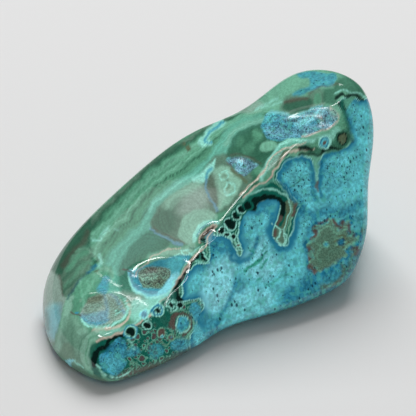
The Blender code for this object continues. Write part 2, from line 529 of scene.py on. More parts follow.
# Patches: pigment, softness of the edge in mm, strength, corners.
ROOF_PATCHES = {
    "inner_ground": ("grey_green", 0.8, 1.0, (
        (8, 31), (8.6, 33.2), (9.6, 35), (11.6, 37), (14, 38.6), (16.4, 40), (19, 42.6), (21.4, 45.4),
        (26, 45.2), (28.4, 41), (24.6, 35.4), (21, 33.6), (18, 31.6), (16, 27.6), (12.4, 28), (10, 29.4))),
    # Painted sheen: a milky grey patch on the roof where an overhead light is reflected.
    "milky_haze": ("haze", 3.0, 0.75, (
        (13.6, 34), (15.2, 38), (18, 39.2), (20.4, 37.4), (19, 34.6), (16, 33.4))),
    "fibrous_lobe": ("dark_green", 1.0, 0.7, (
        (2, 18.6), (2, 22.6), (3.2, 25.6), (5, 28), (7, 29.8), (8.4, 30.8), (10, 29.6), (12.4, 28.2),
        (11, 26.6), (8, 25.6), (6, 23.6), (3.8, 21.8), (4.6, 18.8), (5.6, 17.4), (3.2, 16.6))),
    "inner_dark": ("dark_green", 1.6, 0.5, (
        (8.4, 31.4), (9.2, 33.8), (11, 35.4), (13, 34), (13, 31), (11.6, 29.6), (9.8, 30.2))),
    "pale_lobe": ("pale_green", 0.6, 0.8, (
        (13.6, 29), (14, 31.4), (15, 33), (16.6, 34.2), (18.4, 34.6), (20.4, 34.2), (21.6, 33.4),
        (20.8, 32.2), (18.8, 32.2), (17.4, 30.6), (16.4, 29), (15.6, 27.6))),
    "pale_cells": ("pale_green", 0.7, 0.9, (
        (20.6, 42), (22.6, 43.2), (24.6, 42.6), (26.2, 40.6), (25.4, 37.6), (23.2, 35.4), (21.8, 34.4),
        (21.6, 37.6))),
    "cell_shadow": ("brown", 1.4, 0.35, (
        (19.6, 40.6), (21.2, 41.6), (21.8, 38.4), (22, 35.6), (19.8, 35.6))),
    "aqua_tongue": ("mint", 0.5, 0.9, (
        (16.2, 40.8), (18, 41.6), (20, 43.4), (21.4, 44.8), (21, 43), (20.2, 41.8), (19, 40), (17.6, 39.6))),
    "dark_cells": ("dark_green", 0.8, 0.85, (
        (23.4, 45), (24, 47.6), (25.6, 49.8), (28, 51.2), (30.4, 51.8), (31, 50.2), (33.6, 47.6),
        (32.6, 44.6), (31, 42.6), (28.6, 44), (26, 45.2))),
    "light_cell": ("light_green", 0.5, 0.9, (
        (30.2, 47), (31, 48), (32.6, 48.2), (33.4, 47.2), (32.2, 46.4), (30.8, 46.2))),
    "small_cell": ("mid_green", 0.5, 0.9, ((28.4, 49.6), (29.4, 50.4), (30.4, 49.6), (29.8, 48.6))),
    "wedge_pit": ("slate_blue", 0.3, 1.0, (
        (23.2, 44.6), (25.2, 45), (27.4, 44.8), (29.6, 43.4), (28.6, 42.4), (27.2, 41.2), (25.2, 42.4))),
    "wedge_glint": ("pale_blue", 0.5, 0.8, ((25.2, 44.4), (26.4, 44.6), (26.8, 43.6), (25.8, 43.2))),
    "hump_ground": ("light_green", 1.0, 0.8, (
        (27, 54), (31, 57.6), (36, 61.4), (42, 63.6), (48, 61.6), (51, 58), (50, 57.2), (47, 57.6),
        (46, 56), (46, 54.6), (42, 55.4), (38, 54), (31.6, 54.2))),
    "hump_shade": ("grey_green", 1.0, 0.8, (
        (34, 54.2), (34.8, 56.6), (36.4, 57.4), (39, 57.2), (40.4, 58.4), (42, 58.8), (43.2, 57.4),
        (43, 55.4), (40.4, 55), (37.6, 54), (35.6, 53.8))),
    "hump_dark": ("dark_green", 0.7, 0.85, (
        (34.8, 54.6), (35.4, 56.2), (37.6, 56.8), (39.6, 57), (40.6, 56.2), (40.2, 54.8), (37.6, 54))),
    "hump_cell": ("mid_green", 0.4, 0.9, (
        (40.8, 56.8), (41.4, 57.8), (42.2, 57.6), (42.4, 56.2), (41.6, 55.4), (40.8, 55.8))),
    "hump_right": ("dark_green", 1.0, 0.8, (
        (42.6, 58.4), (44.6, 59.2), (46, 61), (48.6, 60.8), (50.8, 58.2), (51.6, 55.8), (49, 57.2),
        (46.6, 58.2), (45.4, 57.2), (45.2, 55.6), (43, 56.2))),
    "hump_blue": ("mid_blue", 0.5, 0.85, (
        (36.4, 57.4), (38, 58.6), (40, 59.2), (40, 60.6), (38.4, 60.8), (37.6, 61.6), (40, 62.2), (43, 62),
        (45.4, 61.4), (44.8, 59.6), (42.4, 59), (40.4, 58.4), (38.2, 57.4))),
    "notch_shade": ("haze", 0.8, 0.6, (
        (23.6, 53.2), (25.6, 54.8), (28.6, 56.2), (31, 55.6), (30, 54.6), (26.4, 53.8))),
    "crest_shade": ("dark_green", 0.9, 0.6, (
        (8.4, 43.2), (10.6, 45.6), (13.6, 47.6), (16.4, 47.4), (15.4, 46.4), (12.4, 45.6), (10, 43.6))),
}

# Strokes: pigment, width in mm, softness of the edge in mm, strength, corners.
ROOF_STROKES = {
    "knob_a": ("mid_green", 1.6, 0.9, 0.55, ((27.4, 46.6), (28.2, 47))),
    "knob_b": ("mid_green", 1.4, 0.8, 0.5, ((29.2, 48.4), (29.9, 48.7))),
    "knob_c": ("mid_green", 1.3, 0.8, 0.45, ((25.9, 47.8), (26.3, 48.4))),
    "band_line_a": ("dark_green", 0.35, 0.4, 0.55, (
        (-3, 30.6), (0.4, 33.6), (2, 35.4), (4.4, 37.8), (7.2, 40.4), (9.8, 42.4), (13, 44.6))),
    "inner_glow": ("pale_green", 1.6, 1.8, 0.75, ((11.4, 35.4), (13, 37), (15.4, 38.4), (17.6, 39.6))),
    "band_line_b": ("dark_green", 0.25, 0.35, 0.45, (
        (1.6, 32.2), (3.8, 35), (5.6, 37.6), (7.4, 39.4), (9.6, 41.2), (12.4, 42.8), (16, 44.2),
        (19, 45.8), (21, 48))),
    "band_line_c": ("dark_green", 0.25, 0.3, 0.6, (
        (-1, 24.6), (0.4, 27.6), (2.6, 30.2), (5, 31.8), (6.6, 33), (8, 35.6))),
    "band_line_d": ("dark_green", 0.2, 0.25, 0.45, (
        (3.4, 33.2), (5.4, 34.8), (6.8, 37), (9.2, 39.2), (12, 40.8), (15.4, 42))),
    "band_glow": ("mint", 0.8, 1.2, 0.35, (
        (8.2, 34.8), (9.8, 36.8), (12.2, 38.6), (14.6, 40.2), (17, 41.2))),
    "aqua_glow": ("aqua", 1.6, 1.0, 0.8, ((22.4, 46.2), (22.8, 48.4), (24.4, 50.6), (27, 52), (30, 52.8))),
    "aqua_crest": ("pale_green", 0.8, 1.0, 0.5, ((23.2, 47.4), (24.8, 50), (27.4, 51.6), (30.4, 52.4))),
    "blue_vein": ("slate_blue", 0.55, 0.3, 0.9, ((8, 30.8), (10, 29.6), (12, 28.4), (14.4, 27.4))),
    "vein_shadow": ("brown", 0.3, 0.4, 0.5, ((8.6, 31.2), (10.4, 30), (12.6, 28.9), (14.8, 27.8))),
    "short_vein": ("slate_blue", 0.5, 0.3, 0.9, (
        (19.4, 41), (19.4, 39.2), (19.6, 37.6), (20, 36.6), (20.8, 35.6), (21.6, 34.4))),
    "tongue_core": ("mid_blue", 0.6, 0.4, 0.8, ((19.3, 41), (19.6, 42), (20.2, 42.6))),
    "wedge_rim_low": ("brown", 0.35, 0.3, 0.7, ((23.4, 44.2), (25, 42.4), (26.8, 40.8))),
    "wedge_rim_top": ("brown", 0.35, 0.5, 0.5, ((24.2, 45.4), (26.2, 45.6), (28.6, 44.8), (30.2, 43.6))),
    "streak_below": ("olive", 0.8, 0.5, 0.8, ((24.4, 42.6), (25.6, 41.4), (27.2, 40))),
    "cell_ring_a": ("mint", 0.3, 0.3, 0.7, (
        (22.4, 42), (23.4, 42.2), (23.8, 41.2), (23, 40.4), (22.2, 40.8), (22, 41.6))),
    "cell_ring_b": ("mint", 0.35, 0.3, 0.7, (
        (23, 38.6), (23.6, 39.8), (24.8, 39.6), (25, 38.2), (24, 37.4), (23.2, 37.8), (23, 38.6))),
    "cell_spot": ("olive", 0.5, 0.5, 0.5, ((23, 41.4), (23.8, 39.8), (23.6, 38.8))),
    "hook_halo": ("mint", 1.3, 0.5, 0.8, (
        (22.4, 51.8), (20.8, 50.8), (19.4, 49.4), (18.8, 48.4), (18.4, 47.8), (19.8, 47.8))),
    "hook_core": ("mid_blue", 0.55, 0.3, 0.9, (
        (22.6, 51.8), (20.8, 50.6), (19.4, 49.2), (19, 48.4), (19.6, 47.8), (20.2, 48))),
    "crest_line": ("pale_green", 0.3, 0.3, 0.8, ((23, 53), (25.4, 53.5), (27.4, 53.9), (30.4, 54.1))),
    "hump_streak_a": ("mint", 0.4, 0.5, 0.7, ((29.4, 54.6), (31.4, 55.8), (33.4, 56.6))),
    "hump_streak_b": ("mint", 0.4, 0.5, 0.6, ((30.6, 54.8), (32.6, 55.2), (34.4, 56))),
    "hump_brown": ("brown", 0.7, 0.6, 0.7, ((35, 56), (37, 56.6), (39.4, 56.8))),
    "hump_under": ("brown", 0.4, 0.5, 0.5, ((40, 57.8), (41.4, 58.8), (44, 59.4), (46, 59.8))),
    "hump_rim": ("dark_green", 1.0, 1.2, 0.7, ((44, 63), (47.6, 61.6), (50.4, 58.6), (51.6, 55.6))),
}
ROOF_BEADS = {
    "wedge_hole": ("black_green", (27, 43.2), 0.35, ()),
    "crest_spot_a": ("olive", (16, 46.8), 0.6, ()),
    "crest_spot_b": ("olive", (15, 47.5), 0.45, ()),
}
# Patches whose growth layers are rings: patch, centre of the rings, and layers per mm.
ROOF_RINGS = (
    ("inner_ground", (15, 33.4), 0.9), ("fibrous_lobe", (8, 24.2), 1.6), ("pale_lobe", (18.4, 31.6), 1.2),
    ("pale_cells", (23.8, 39.2), 1.4), ("dark_cells", (28.6, 47.6), 1.2), ("hump_shade", (38.6, 56), 1.0),
)

POCKET_PATCHES = {
    "pocket_ground": ("mid_blue", 0.4, 1.0, (
        (31.2, 53.4), (32.4, 54), (34.4, 53.6), (36.4, 53.3), (38.4, 53.5), (40.4, 54.5), (42.4, 55.2),
        (44.4, 54.8), (45.6, 53.8), (45.6, 51.8), (44.4, 51), (42.4, 50.4), (40.4, 49.6), (38, 49),
        (35.6, 48.8), (33.6, 48.3), (31.6, 48.8), (30.6, 50.2), (30.4, 51.8))),
    "pocket_left": ("turquoise", 0.8, 0.9, (
        (31.2, 53.2), (32.8, 54), (33.4, 52.8), (32.2, 51.8), (31, 52))),
    "pocket_top": ("pale_blue", 0.7, 0.8, (
        (37, 51.6), (38, 52.6), (40.4, 53.8), (42.6, 54.6), (43.6, 54), (41.6, 52.8), (39.6, 51.4),
        (38, 50.9))),
    "pocket_dull": ("slate_blue", 1.0, 0.6, (
        (31.4, 51.2), (34, 51.4), (37, 50.9), (40, 51.3), (41, 50.2), (38, 49.2), (34, 48.6), (31.4, 49.4))),
    "pocket_foot": ("slate_blue", 0.8, 0.7, (
        (39, 51), (41.6, 51.6), (43.6, 52), (43.6, 51), (41, 50.2), (38.6, 49.6))),
    "pocket_end": ("slate_blue", 0.8, 0.8, (
        (42.8, 53.6), (44, 54.6), (45.2, 53.6), (45, 52.2), (43.4, 51.8))),
    "pocket_shine": ("haze", 0.9, 0.7, ((43.4, 54.8), (44.8, 54.6), (45.6, 53.2), (45, 52.6), (44, 53.8))),
    "mint_shelf": ("aqua", 0.6, 0.95, (
        (30.4, 41.2), (31.6, 44), (33, 46.6), (34.6, 48.2), (36.8, 48.9), (39, 48.8), (41, 48.7),
        (40, 47.6), (37.6, 46.9), (35.2, 46.4), (33.4, 44.2), (32, 42.4))),
    "shelf_grey": ("haze", 0.6, 0.6, ((31.6, 42.8), (33.2, 45.2), (34.8, 46.2), (34, 44.6), (32.6, 42.6))),
    "ridge_green": ("mid_green", 0.6, 0.9, (
        (40.4, 48.4), (43, 50), (45.4, 51.2), (46.4, 53.6), (46.2, 56), (47.6, 57), (49.4, 57),
        (47.4, 54.6), (48, 51), (48.8, 48.6), (46.8, 46.6), (43.6, 46), (41.4, 45.6), (39.4, 45.6),
        (37.6, 46), (39.6, 47.4))),
    "ridge_green_low": ("dark_green", 0.9, 0.8, (
        (40, 46.8), (42.6, 47.6), (45.2, 48.6), (47.4, 50.6), (48.2, 48.6), (46.6, 46.8), (43.6, 46),
        (40.6, 45.6))),
    "ridge_mint": ("mint", 0.8, 0.5, ((41, 48.8), (43.4, 49.8), (45.8, 51), (46.4, 49.6), (44.4, 48.6))),
}
POCKET_STROKES = {
    # Painted highlight: pale lines on the long pocket's lower and end rims.
    "pocket_low_highlight": ("beige", 0.35, 0.3, 0.8, (
        (38.6, 49.3), (40.6, 49.8), (42.4, 50.5), (44.4, 51.1), (45.4, 52.2))),
    "pocket_end_highlight": ("beige", 0.5, 0.5, 0.6, ((44.2, 54.9), (45.6, 53.6), (45.8, 52.4), (45, 51.4))),
    # Painted highlight: a pale blue arc on the pocket's top rim.
    "pocket_top_highlight": ("pale_blue", 0.35, 0.3, 0.8, (
        (31.2, 53.2), (32.6, 54.2), (34.6, 53.8), (36.6, 53.5), (38.6, 53.8), (40.6, 54.8), (42.6, 55.4))),
    "pocket_crack_a": ("black_green", 0.35, 0.3, 0.8, ((35, 52.6), (36.4, 52.2), (37.6, 52.4))),
    "pocket_crack_b": ("navy", 0.3, 0.3, 0.7, ((33, 50.8), (34.2, 51.2), (35.6, 50.8))),
    "pocket_crack_c": ("black_green", 0.4, 0.3, 0.9, ((41.8, 53.4), (42.4, 52.8), (42.9, 52.2))),
    "shelf_mint": ("mint", 0.6, 0.5, 0.7, (
        (30.2, 40.6), (31, 42.8), (32.4, 45.4), (34, 47.4), (36.6, 48.4), (39.4, 48.3), (41, 48.4))),
    # Painted highlight: two pale lines along the ridge, for a strip light reflected on its rounded edge.
    "shelf_highlight_up": ("beige", 0.32, 0.25, 0.9, (
        (26, 37.4), (28, 39.4), (30, 41.2), (31.6, 43.6), (32.6, 45.2), (34, 46.2), (36, 47), (38, 47.4),
        (39.4, 47.8))),
    "shelf_highlight_low": ("beige", 0.32, 0.25, 0.9, (
        (26.6, 37), (29.6, 39.4), (32, 40.8), (33, 42.2), (34.6, 44.6), (36, 46), (38, 46.3), (41, 46.6))),
    "seam_shadow": ("olive", 0.4, 0.4, 0.8, ((33.2, 43.2), (34.4, 45.2), (35.8, 46.4), (38, 46.9))),
    "lens": ("black_green", 0.9, 0.3, 0.95, ((38, 46.6), (39.2, 46.8), (40.4, 46.5))),
    "dark_run_a": ("black_green", 0.5, 0.4, 0.85, (
        (38, 45.7), (39.6, 45.7), (41, 45.5), (42.2, 45.6), (43, 46.2), (44.2, 47), (45.6, 47))),
    "dark_run_b": ("black_green", 0.5, 0.4, 0.85, ((42.6, 46), (43.4, 47), (44.8, 46.9), (46.4, 46.9))),
    "tail_dark_line": ("black_green", 0.7, 0.3, 0.95, (
        (45.4, 57), (46.6, 57.8), (47.6, 57.2), (48.6, 57.6), (49.6, 57.4), (50.2, 56.8), (51, 56.4))),
    "tail_dark_end": ("black_green", 0.9, 0.3, 0.9, ((45.8, 56), (46.4, 55.6), (47, 54.8))),
    "tail_mid_line": ("deep_teal", 0.7, 0.5, 0.8, ((46.6, 56.4), (46.8, 54.6), (47.4, 52.6), (47.8, 50.6))),
    "tail_side_line": ("navy", 0.35, 0.3, 0.6, ((47.4, 54.4), (47.8, 51.8), (48.2, 49.6), (48.6, 47.8))),
    "tail_mint": ("mint", 0.3, 0.3, 0.6, (
        (45.2, 57.8), (46.8, 58.6), (48.4, 58.2), (50.2, 57.8), (51.4, 57))),
}
POCKET_BEADS = {
    "pocket_hole": ("black_green", (42.4, 52.9), 0.45, ()),
    "ring_bead": ("brown", (43.2, 48), 0.42, (("turquoise", 0.3), ("deep_blue", 0.3), ("mint", 0.3))),
    "dark_blob": ("olive", (46.6, 48.8), 0.9, (("black_green", 0.3), ("dark_green", 0.4))),
}

UNDER_RIDGE = (
    (-2.4, 8.4), (0.2, 9.4), (2.6, 9.8), (4.2, 10.4), (6.4, 12.2), (8.2, 13.2), (11.2, 16.2), (13.8, 20.8),
    (14.6, 22.2), (17, 25.4), (18.6, 26.6), (19.2, 28.6), (20.8, 30.8), (22.4, 32.2), (24.4, 35), (26, 37),
    (28, 38.4), (30, 39.8), (32, 41), (33.6, 43.4), (36, 45.8), (40, 40), (37.6, 33), (34, 26), (24, 26),
    (19.6, 20), (20, 8), (0, 0), (-3.4, 3),
)
BLUE_FACE = (
    (14, 16.2), (14.6, 17.6), (14.6, 19.6), (16, 22.2), (17.4, 23.6), (19.2, 23.4), (20, 25), (20, 27.4),
    (20.6, 29.2), (22.4, 29.2), (24, 28.6), (25, 27), (25.8, 25.2), (26.6, 25.6), (26.4, 27.6),
    (25.8, 29.4), (26, 31.4), (26, 33.4), (27.6, 34.4), (29.2, 34.2), (29.6, 35.6), (30.6, 36.2),
    (32.4, 36.6), (33.8, 36), (34, 34.6), (33.6, 33.2), (32.8, 31.6), (32.4, 30), (33, 28.4), (34.2, 27.2),
    (35.6, 27.4), (36.4, 29.4), (37, 31.6), (37.4, 33.8), (38.2, 35.2), (37.2, 36.6), (36, 38), (35, 39.4),
    (33.4, 40.6), (34.2, 42.4), (35.2, 43.8), (36.8, 45), (38.8, 45.2), (40.2, 44.6), (41, 42.6),
    (41.4, 39.8), (42, 42.6), (42.4, 45), (44, 46.2), (46, 46.6), (47.8, 47.2), (48.4, 48.6), (47.8, 51.6),
    (46.8, 54.2), (46, 55.8), (47, 56.8), (49, 56.8), (50.4, 56.2), (55, 54.6), (56, 26.6), (46, 10),
    (26, 2), (18, 3), (16, 8.6), (18, 10.6), (17.2, 13), (19, 15), (18, 17), (16, 16.4),
)
FRONT_PATCHES = {
    "hook_pool": ("deep_blue", 0.8, 0.75, (
        (20.2, 28.4), (22, 28.8), (24, 28), (25, 26.6), (24.4, 25), (22.6, 25.4), (21, 25.6), (20, 26.6))),
    "arch_pool": ("deep_blue", 0.8, 0.7, (
        (29.4, 35.2), (31.6, 36), (33.4, 35.6), (33.8, 34.2), (32, 33.4), (30.4, 34), (29.2, 34.2))),
    "arch_pool_light": ("mid_blue", 0.6, 0.8, ((32.4, 35.8), (33.4, 35.6), (33.6, 34.4), (32.6, 34))),
    "pale_left": ("pale_blue", 2.4, 0.95, (
        (19.6, 22.6), (24.6, 25), (24.8, 19), (22.4, 14.6), (20, 13.6), (18.6, 17))),
    "pale_middle": ("pale_blue", 2.4, 0.6, (
        (25.6, 18.4), (31.6, 18.4), (32.4, 15.4), (28, 13.8), (24, 13.4))),
    "pale_high": ("pale_blue", 2.4, 0.75, (
        (26.8, 24.8), (30.4, 29), (32.4, 26), (34.6, 23.4), (31, 20.4), (27.4, 21.6))),
    "pale_right": ("mid_blue", 2.4, 0.35, ((42, 43.6), (46, 43.6), (47, 35), (43, 35))),
    "lower_shade": ("deep_blue", 3.0, 0.55, (
        (35, 18.6), (40, 21.6), (46, 24.4), (50, 26.6), (52, 22), (44, 12), (36, 13.6))),
    "low_left_shade": ("deep_blue", 2.0, 0.55, ((17.6, 13.4), (20.4, 14), (23, 9.6), (20, 7.4), (17, 8.6))),
    # Painted shade: dark teal over the lower right of the tail.
    "tail_low_shade": ("painted_shade_teal", 1.6, 0.45, (
        (48.6, 32.6), (51.6, 33), (51.6, 26), (49.6, 24.4), (48.6, 28))),
    "seam_green": ("aqua", 0.8, 0.45, ((40.8, 45), (41.8, 45.2), (41.8, 40), (40.8, 40))),
    "olive_finger": ("olive", 0.4, 0.9, (
        (35.2, 36), (36.2, 36.6), (37.4, 35.8), (37, 34), (36, 32.2), (35.2, 30.2), (34.6, 28.6),
        (33.8, 29.4), (34.4, 31.4), (35.2, 33.6))),
    "finger_base": ("grey_green", 0.4, 0.9, (
        (33, 30.6), (34.2, 31), (35, 29.4), (34.6, 27.8), (33.2, 28.2))),
}
STAR = (
    (41.3, 31.2), (42.8, 31.2), (43.8, 31.6), (44.3, 32.4), (44.7, 31), (45.3, 30.3), (45.9, 30.2),
    (46.7, 31.3), (47.8, 32.4), (47.2, 30.8), (47.5, 29.5), (48.4, 29), (49.6, 28.9), (48.5, 27.9),
    (47.4, 27.3), (46.9, 26.4), (47, 25.2), (45.2, 24.2), (43.5, 23), (41.5, 22.1), (41.3, 23.1),
    (39.9, 23.6), (40.5, 24.5), (40.8, 25.6), (40.4, 26.9), (39.5, 27.5), (40.5, 27.9), (41.4, 28.8),
    (41.9, 29.8), (41.7, 30.6),
)
FRONT_STROKES = {
    "arch_blue_inner": ("deep_blue", 0.8, 0.7, 0.8, ((32.6, 33.8), (32, 31), (32.2, 28.6), (33.6, 26.8))),
    "arch_blue_outer": ("deep_blue", 0.9, 0.8, 0.8, (
        (37.6, 33.4), (37, 30.4), (36.4, 28), (35, 26.6), (33.6, 26.4))),
    "comma": ("deep_blue", 0.9, 0.7, 0.85, (
        (24.4, 26.4), (24.4, 24.8), (26, 24.2), (28, 25), (29, 27), (29.6, 28.8))),
    "lower_band": ("deep_blue", 0.9, 1.0, 0.75, (
        (25.6, 20), (24.6, 17.6), (23.6, 15.6), (22.4, 13.6), (21.4, 11.4))),
    "lower_band_head": ("deep_blue", 1.6, 1.2, 0.5, ((25.2, 20.6), (26.2, 18.4))),
    "lobe_left_edge": ("deep_blue", 0.9, 0.7, 0.8, (
        (38.6, 45), (36.4, 44.6), (34.8, 43), (34, 41), (35.2, 38.8), (36.4, 37), (37.8, 35.2))),
    "lobe_left_side": ("deep_blue", 0.9, 0.6, 0.8, (
        (38.6, 44.9), (40.2, 43.8), (40.8, 41.2), (40.6, 38.4), (41.2, 36.4))),
    "lobe_right_side": ("deep_blue", 0.9, 0.6, 0.8, (
        (44.4, 45.9), (42.6, 44.6), (42.2, 41.8), (42, 39), (42.6, 37))),
    "lobe_right_top": ("deep_blue", 0.6, 0.6, 0.7, ((43.4, 45.6), (45.4, 46.2), (47.6, 46.8))),
    "middle_band": ("deep_blue", 1.8, 1.6, 0.75, (
        (38.6, 34), (41, 33.4), (43.6, 34.2), (46.4, 33.8), (50, 35.4))),
    "star_left_blue": ("deep_blue", 1.2, 1.0, 0.7, (
        (42, 33.4), (40.4, 31.8), (39.8, 29.4), (39.2, 27.6), (39.6, 25), (40, 22.6), (42, 21.2))),
    "foot_band": ("deep_blue", 2.4, 2.0, 0.8, ((35, 16.8), (38.4, 18.6), (42, 21.2), (46, 24))),
    "foot_band_light": ("mid_blue", 1.2, 1.0, 0.8, ((42, 20.6), (44.4, 22.2), (46.6, 23.8))),
    # Painted shade: a dark teal band along the bottom edge, where the face turns under towards the floor.
    "edge_shade": ("painted_shade_teal", 1.6, 3.6, 0.9, (
        (14, 5.6), (18, 7), (22, 9.4), (28, 11.4), (34, 13.8), (38, 15.6), (42, 17.6), (46.4, 20.4),
        (50.4, 26))),
    "green_streak_a": ("sea_green", 0.6, 0.5, 0.9, ((27, 22.2), (28.6, 23.4), (30.4, 24.8))),
    "green_streak_b": ("sea_green", 0.4, 0.35, 0.9, ((28.4, 23), (30, 24.4), (31.6, 26.2))),
    "green_streak_c": ("sea_green", 0.4, 0.35, 0.9, ((30, 23), (31.6, 24.4))),
    "green_streak_d": ("sea_green", 0.4, 0.35, 0.9, ((28, 26.4), (29, 25.6))),
    "green_streak_f": ("sea_green", 0.35, 0.4, 0.7, ((30.4, 26), (31.2, 27.4))),
    "green_streak_g": ("sea_green", 0.4, 0.5, 0.6, ((31, 19), (33, 20), (35.4, 21.6))),
    "green_streak_h": ("sea_green", 0.8, 0.8, 0.4, ((25, 14), (28, 14.6), (31, 16.4))),
    "green_streak_e": ("sea_green", 0.4, 0.35, 0.9, ((29.4, 20.4), (30.4, 20.6))),
    "navy_streak": ("black_green", 0.3, 0.3, 0.7, ((36, 39), (37.2, 39.8), (38.2, 40.4))),
    "arch": ("black_green", 1.0, 0.3, 1.0, (
        (28.4, 34.8), (28.8, 36.1), (30.2, 36.7), (31.6, 36.9), (33, 36.8), (34.2, 36.1), (34.7, 35),
        (34.5, 33.6))),
    "arch_foot": ("black_green", 1.4, 0.4, 1.0, ((28.8, 34.8), (29, 36), (30, 36.6))),
    "arch_end": ("brown", 0.7, 0.3, 0.95, ((34.2, 33), (33.6, 31.8), (33.4, 31.2))),
    "arch_tip": ("brown", 0.8, 0.3, 0.95, ((33, 30.2), (33.1, 29.5))),
    "arch_mint": ("mint", 0.28, 0.25, 0.8, (
        (26.6, 36.4), (28.2, 37.8), (30.4, 38.4), (32.6, 38.6), (34.8, 37.8), (35.8, 36.4), (36.2, 35),
        (35.8, 33.4), (35.2, 31.4), (34.8, 29.4), (35.2, 28))),
    "finger_mint": ("light_green", 0.25, 0.25, 0.7, ((36.6, 36), (36.4, 33.8), (35.8, 31.4), (35, 29.4))),
    "finger_brown": ("brown", 0.55, 0.3, 0.9, ((37.4, 35.6), (37, 34.6), (36.6, 33.4))),
    "squiggle_a": ("mint", 0.28, 0.2, 0.9, (
        (32.4, 31.6), (33.8, 30.8), (34, 29.4), (33.4, 28.4), (34.4, 27.6), (35, 28.4))),
    "squiggle_b": ("mint", 0.28, 0.2, 0.9, ((34.6, 30.4), (35.4, 28.8), (34.8, 27.4))),
    "pool_mint": ("mint", 0.3, 0.3, 0.6, ((25, 28.6), (25.6, 27.4), (25.4, 26.4), (26.6, 26.6))),
    "ridge_teal_line": ("light_green", 0.4, 0.4, 0.6, (
        (20.4, 30.4), (22, 31.4), (23.6, 33.4), (25.2, 35.4), (27, 37), (29, 38.8), (31, 40.2))),
    "under_ridge_light": ("aqua", 0.6, 0.5, 0.6, ((26.4, 36), (28, 37.6), (30.6, 39.4), (32.8, 40.6))),
    "olive_vein_a": ("olive", 0.5, 0.4, 0.9, (
        (48, 32), (47.8, 30.2), (48.6, 28.6), (49.2, 27), (48.6, 25.2))),
    "olive_vein_b": ("olive", 0.5, 0.5, 0.8, ((47.4, 26.6), (48.8, 26.6), (49.6, 28.2), (50.6, 30.6))),
    "olive_vein_c": ("olive", 0.7, 0.6, 0.8, (
        (46.6, 23.4), (46.8, 21.6), (45.4, 20), (43.6, 19.2), (42.4, 19))),
    "olive_vein_d": ("grey_green", 0.8, 0.8, 0.7, ((48.4, 25.4), (48, 23.2), (47, 22))),
    "wedge_blue": ("slate_blue", 0.6, 0.5, 0.8, ((47.8, 26.4), (47.6, 25), (46.8, 24.2))),
    "seam_brown": ("brown", 0.5, 0.4, 0.75, ((41.6, 40), (41.3, 39.2), (41.5, 38.2))),
}
STAR_STROKES = {
    "star_light": ("light_green", 0.3, 0.3, 0.75, (
        (41.9, 29.6), (42, 30.4), (43, 30.9), (44.2, 31), (44.7, 30.2), (45.6, 29.6), (46.4, 30.2),
        (47, 31))),
    "star_brown_a": ("brown", 0.9, 0.4, 0.95, ((40.9, 31), (41.1, 30.2), (41.2, 29.4), (40.4, 28.5))),
    "star_brown_b": ("brown", 0.9, 0.4, 0.95, ((39.8, 26.9), (40.1, 25.9), (39.9, 24.7))),
    "star_brown_c": ("brown", 0.9, 0.4, 0.95, ((39.9, 23.2), (40.7, 22.7), (41, 22))),
    "star_brown_d": ("brown", 0.8, 0.4, 0.95, ((44.9, 32.2), (45.3, 31), (46, 30.9), (46.6, 32))),
    "star_brown_e": ("brown", 0.5, 0.4, 0.8, ((41.8, 31.8), (42.8, 31.9), (43.8, 32.4))),
    "star_brown_f": ("brown", 0.8, 0.5, 0.9, ((47.9, 31.4), (47.9, 30.3), (48.6, 29.6))),
    "star_brown_g": ("brown", 0.8, 0.6, 0.8, ((48.6, 27.2), (49.4, 26.6), (49.2, 25.4))),
    "star_inner_a": ("light_green", 0.3, 0.3, 0.5, (
        (42.2, 29.4), (41.2, 28.2), (42.2, 27.2), (41.4, 25.4), (42, 24))),
    "star_inner_b": ("light_green", 0.3, 0.3, 0.4, (
        (45, 29.8), (44.9, 28.6), (45.2, 27.2), (46.4, 26.9), (47.2, 27.9))),
}
FRONT_BEADS = {
    "bead_a": ("black_green", (24, 31.8), 1.15, (("mint", 0.22), ("deep_teal", 0.3))),
    "bead_b": ("black_green", (25.3, 33.4), 0.75, (("mint", 0.18), ("deep_teal", 0.3))),
    "bead_c": ("black_green", (26.5, 34.7), 0.85, (("mint", 0.18), ("deep_teal", 0.3))),
    "bead_d": ("black_green", (27.6, 35.3), 0.85, (("deep_teal", 0.3),)),
    "bead_e": ("black_green", (22.4, 30.3), 0.55, (("mint", 0.18),)),
    "bead_f": ("black_green", (23.5, 29.6), 0.45, (("mint", 0.2),)),
    "bead_g": ("black_green", (24.8, 29.2), 0.5, (("mint", 0.2),)),
    "arch_knob_a": ("black_green", (29.3, 36.5), 0.75, ()),
    "arch_knob_b": ("black_green", (30.9, 37), 0.6, ()),
    "arch_knob_c": ("black_green", (32.4, 37.1), 0.6, ()),
    "arch_knob_d": ("black_green", (33.8, 36.6), 0.65, ()),
    "arch_knob_e": ("black_green", (34.7, 35.5), 0.6, ()),
    "bead_h": ("brown", (25.8, 27.4), 0.3, (("mint", 0.2),)),
    "star_eye": ("deep_blue", (46.2, 28), 0.45, (("navy", 0.25), ("light_green", 0.3), ("olive", 0.3))),
    "star_spot": ("mid_blue", (43.2, 27.4), 0.45, (("aqua", 0.25),)),
}

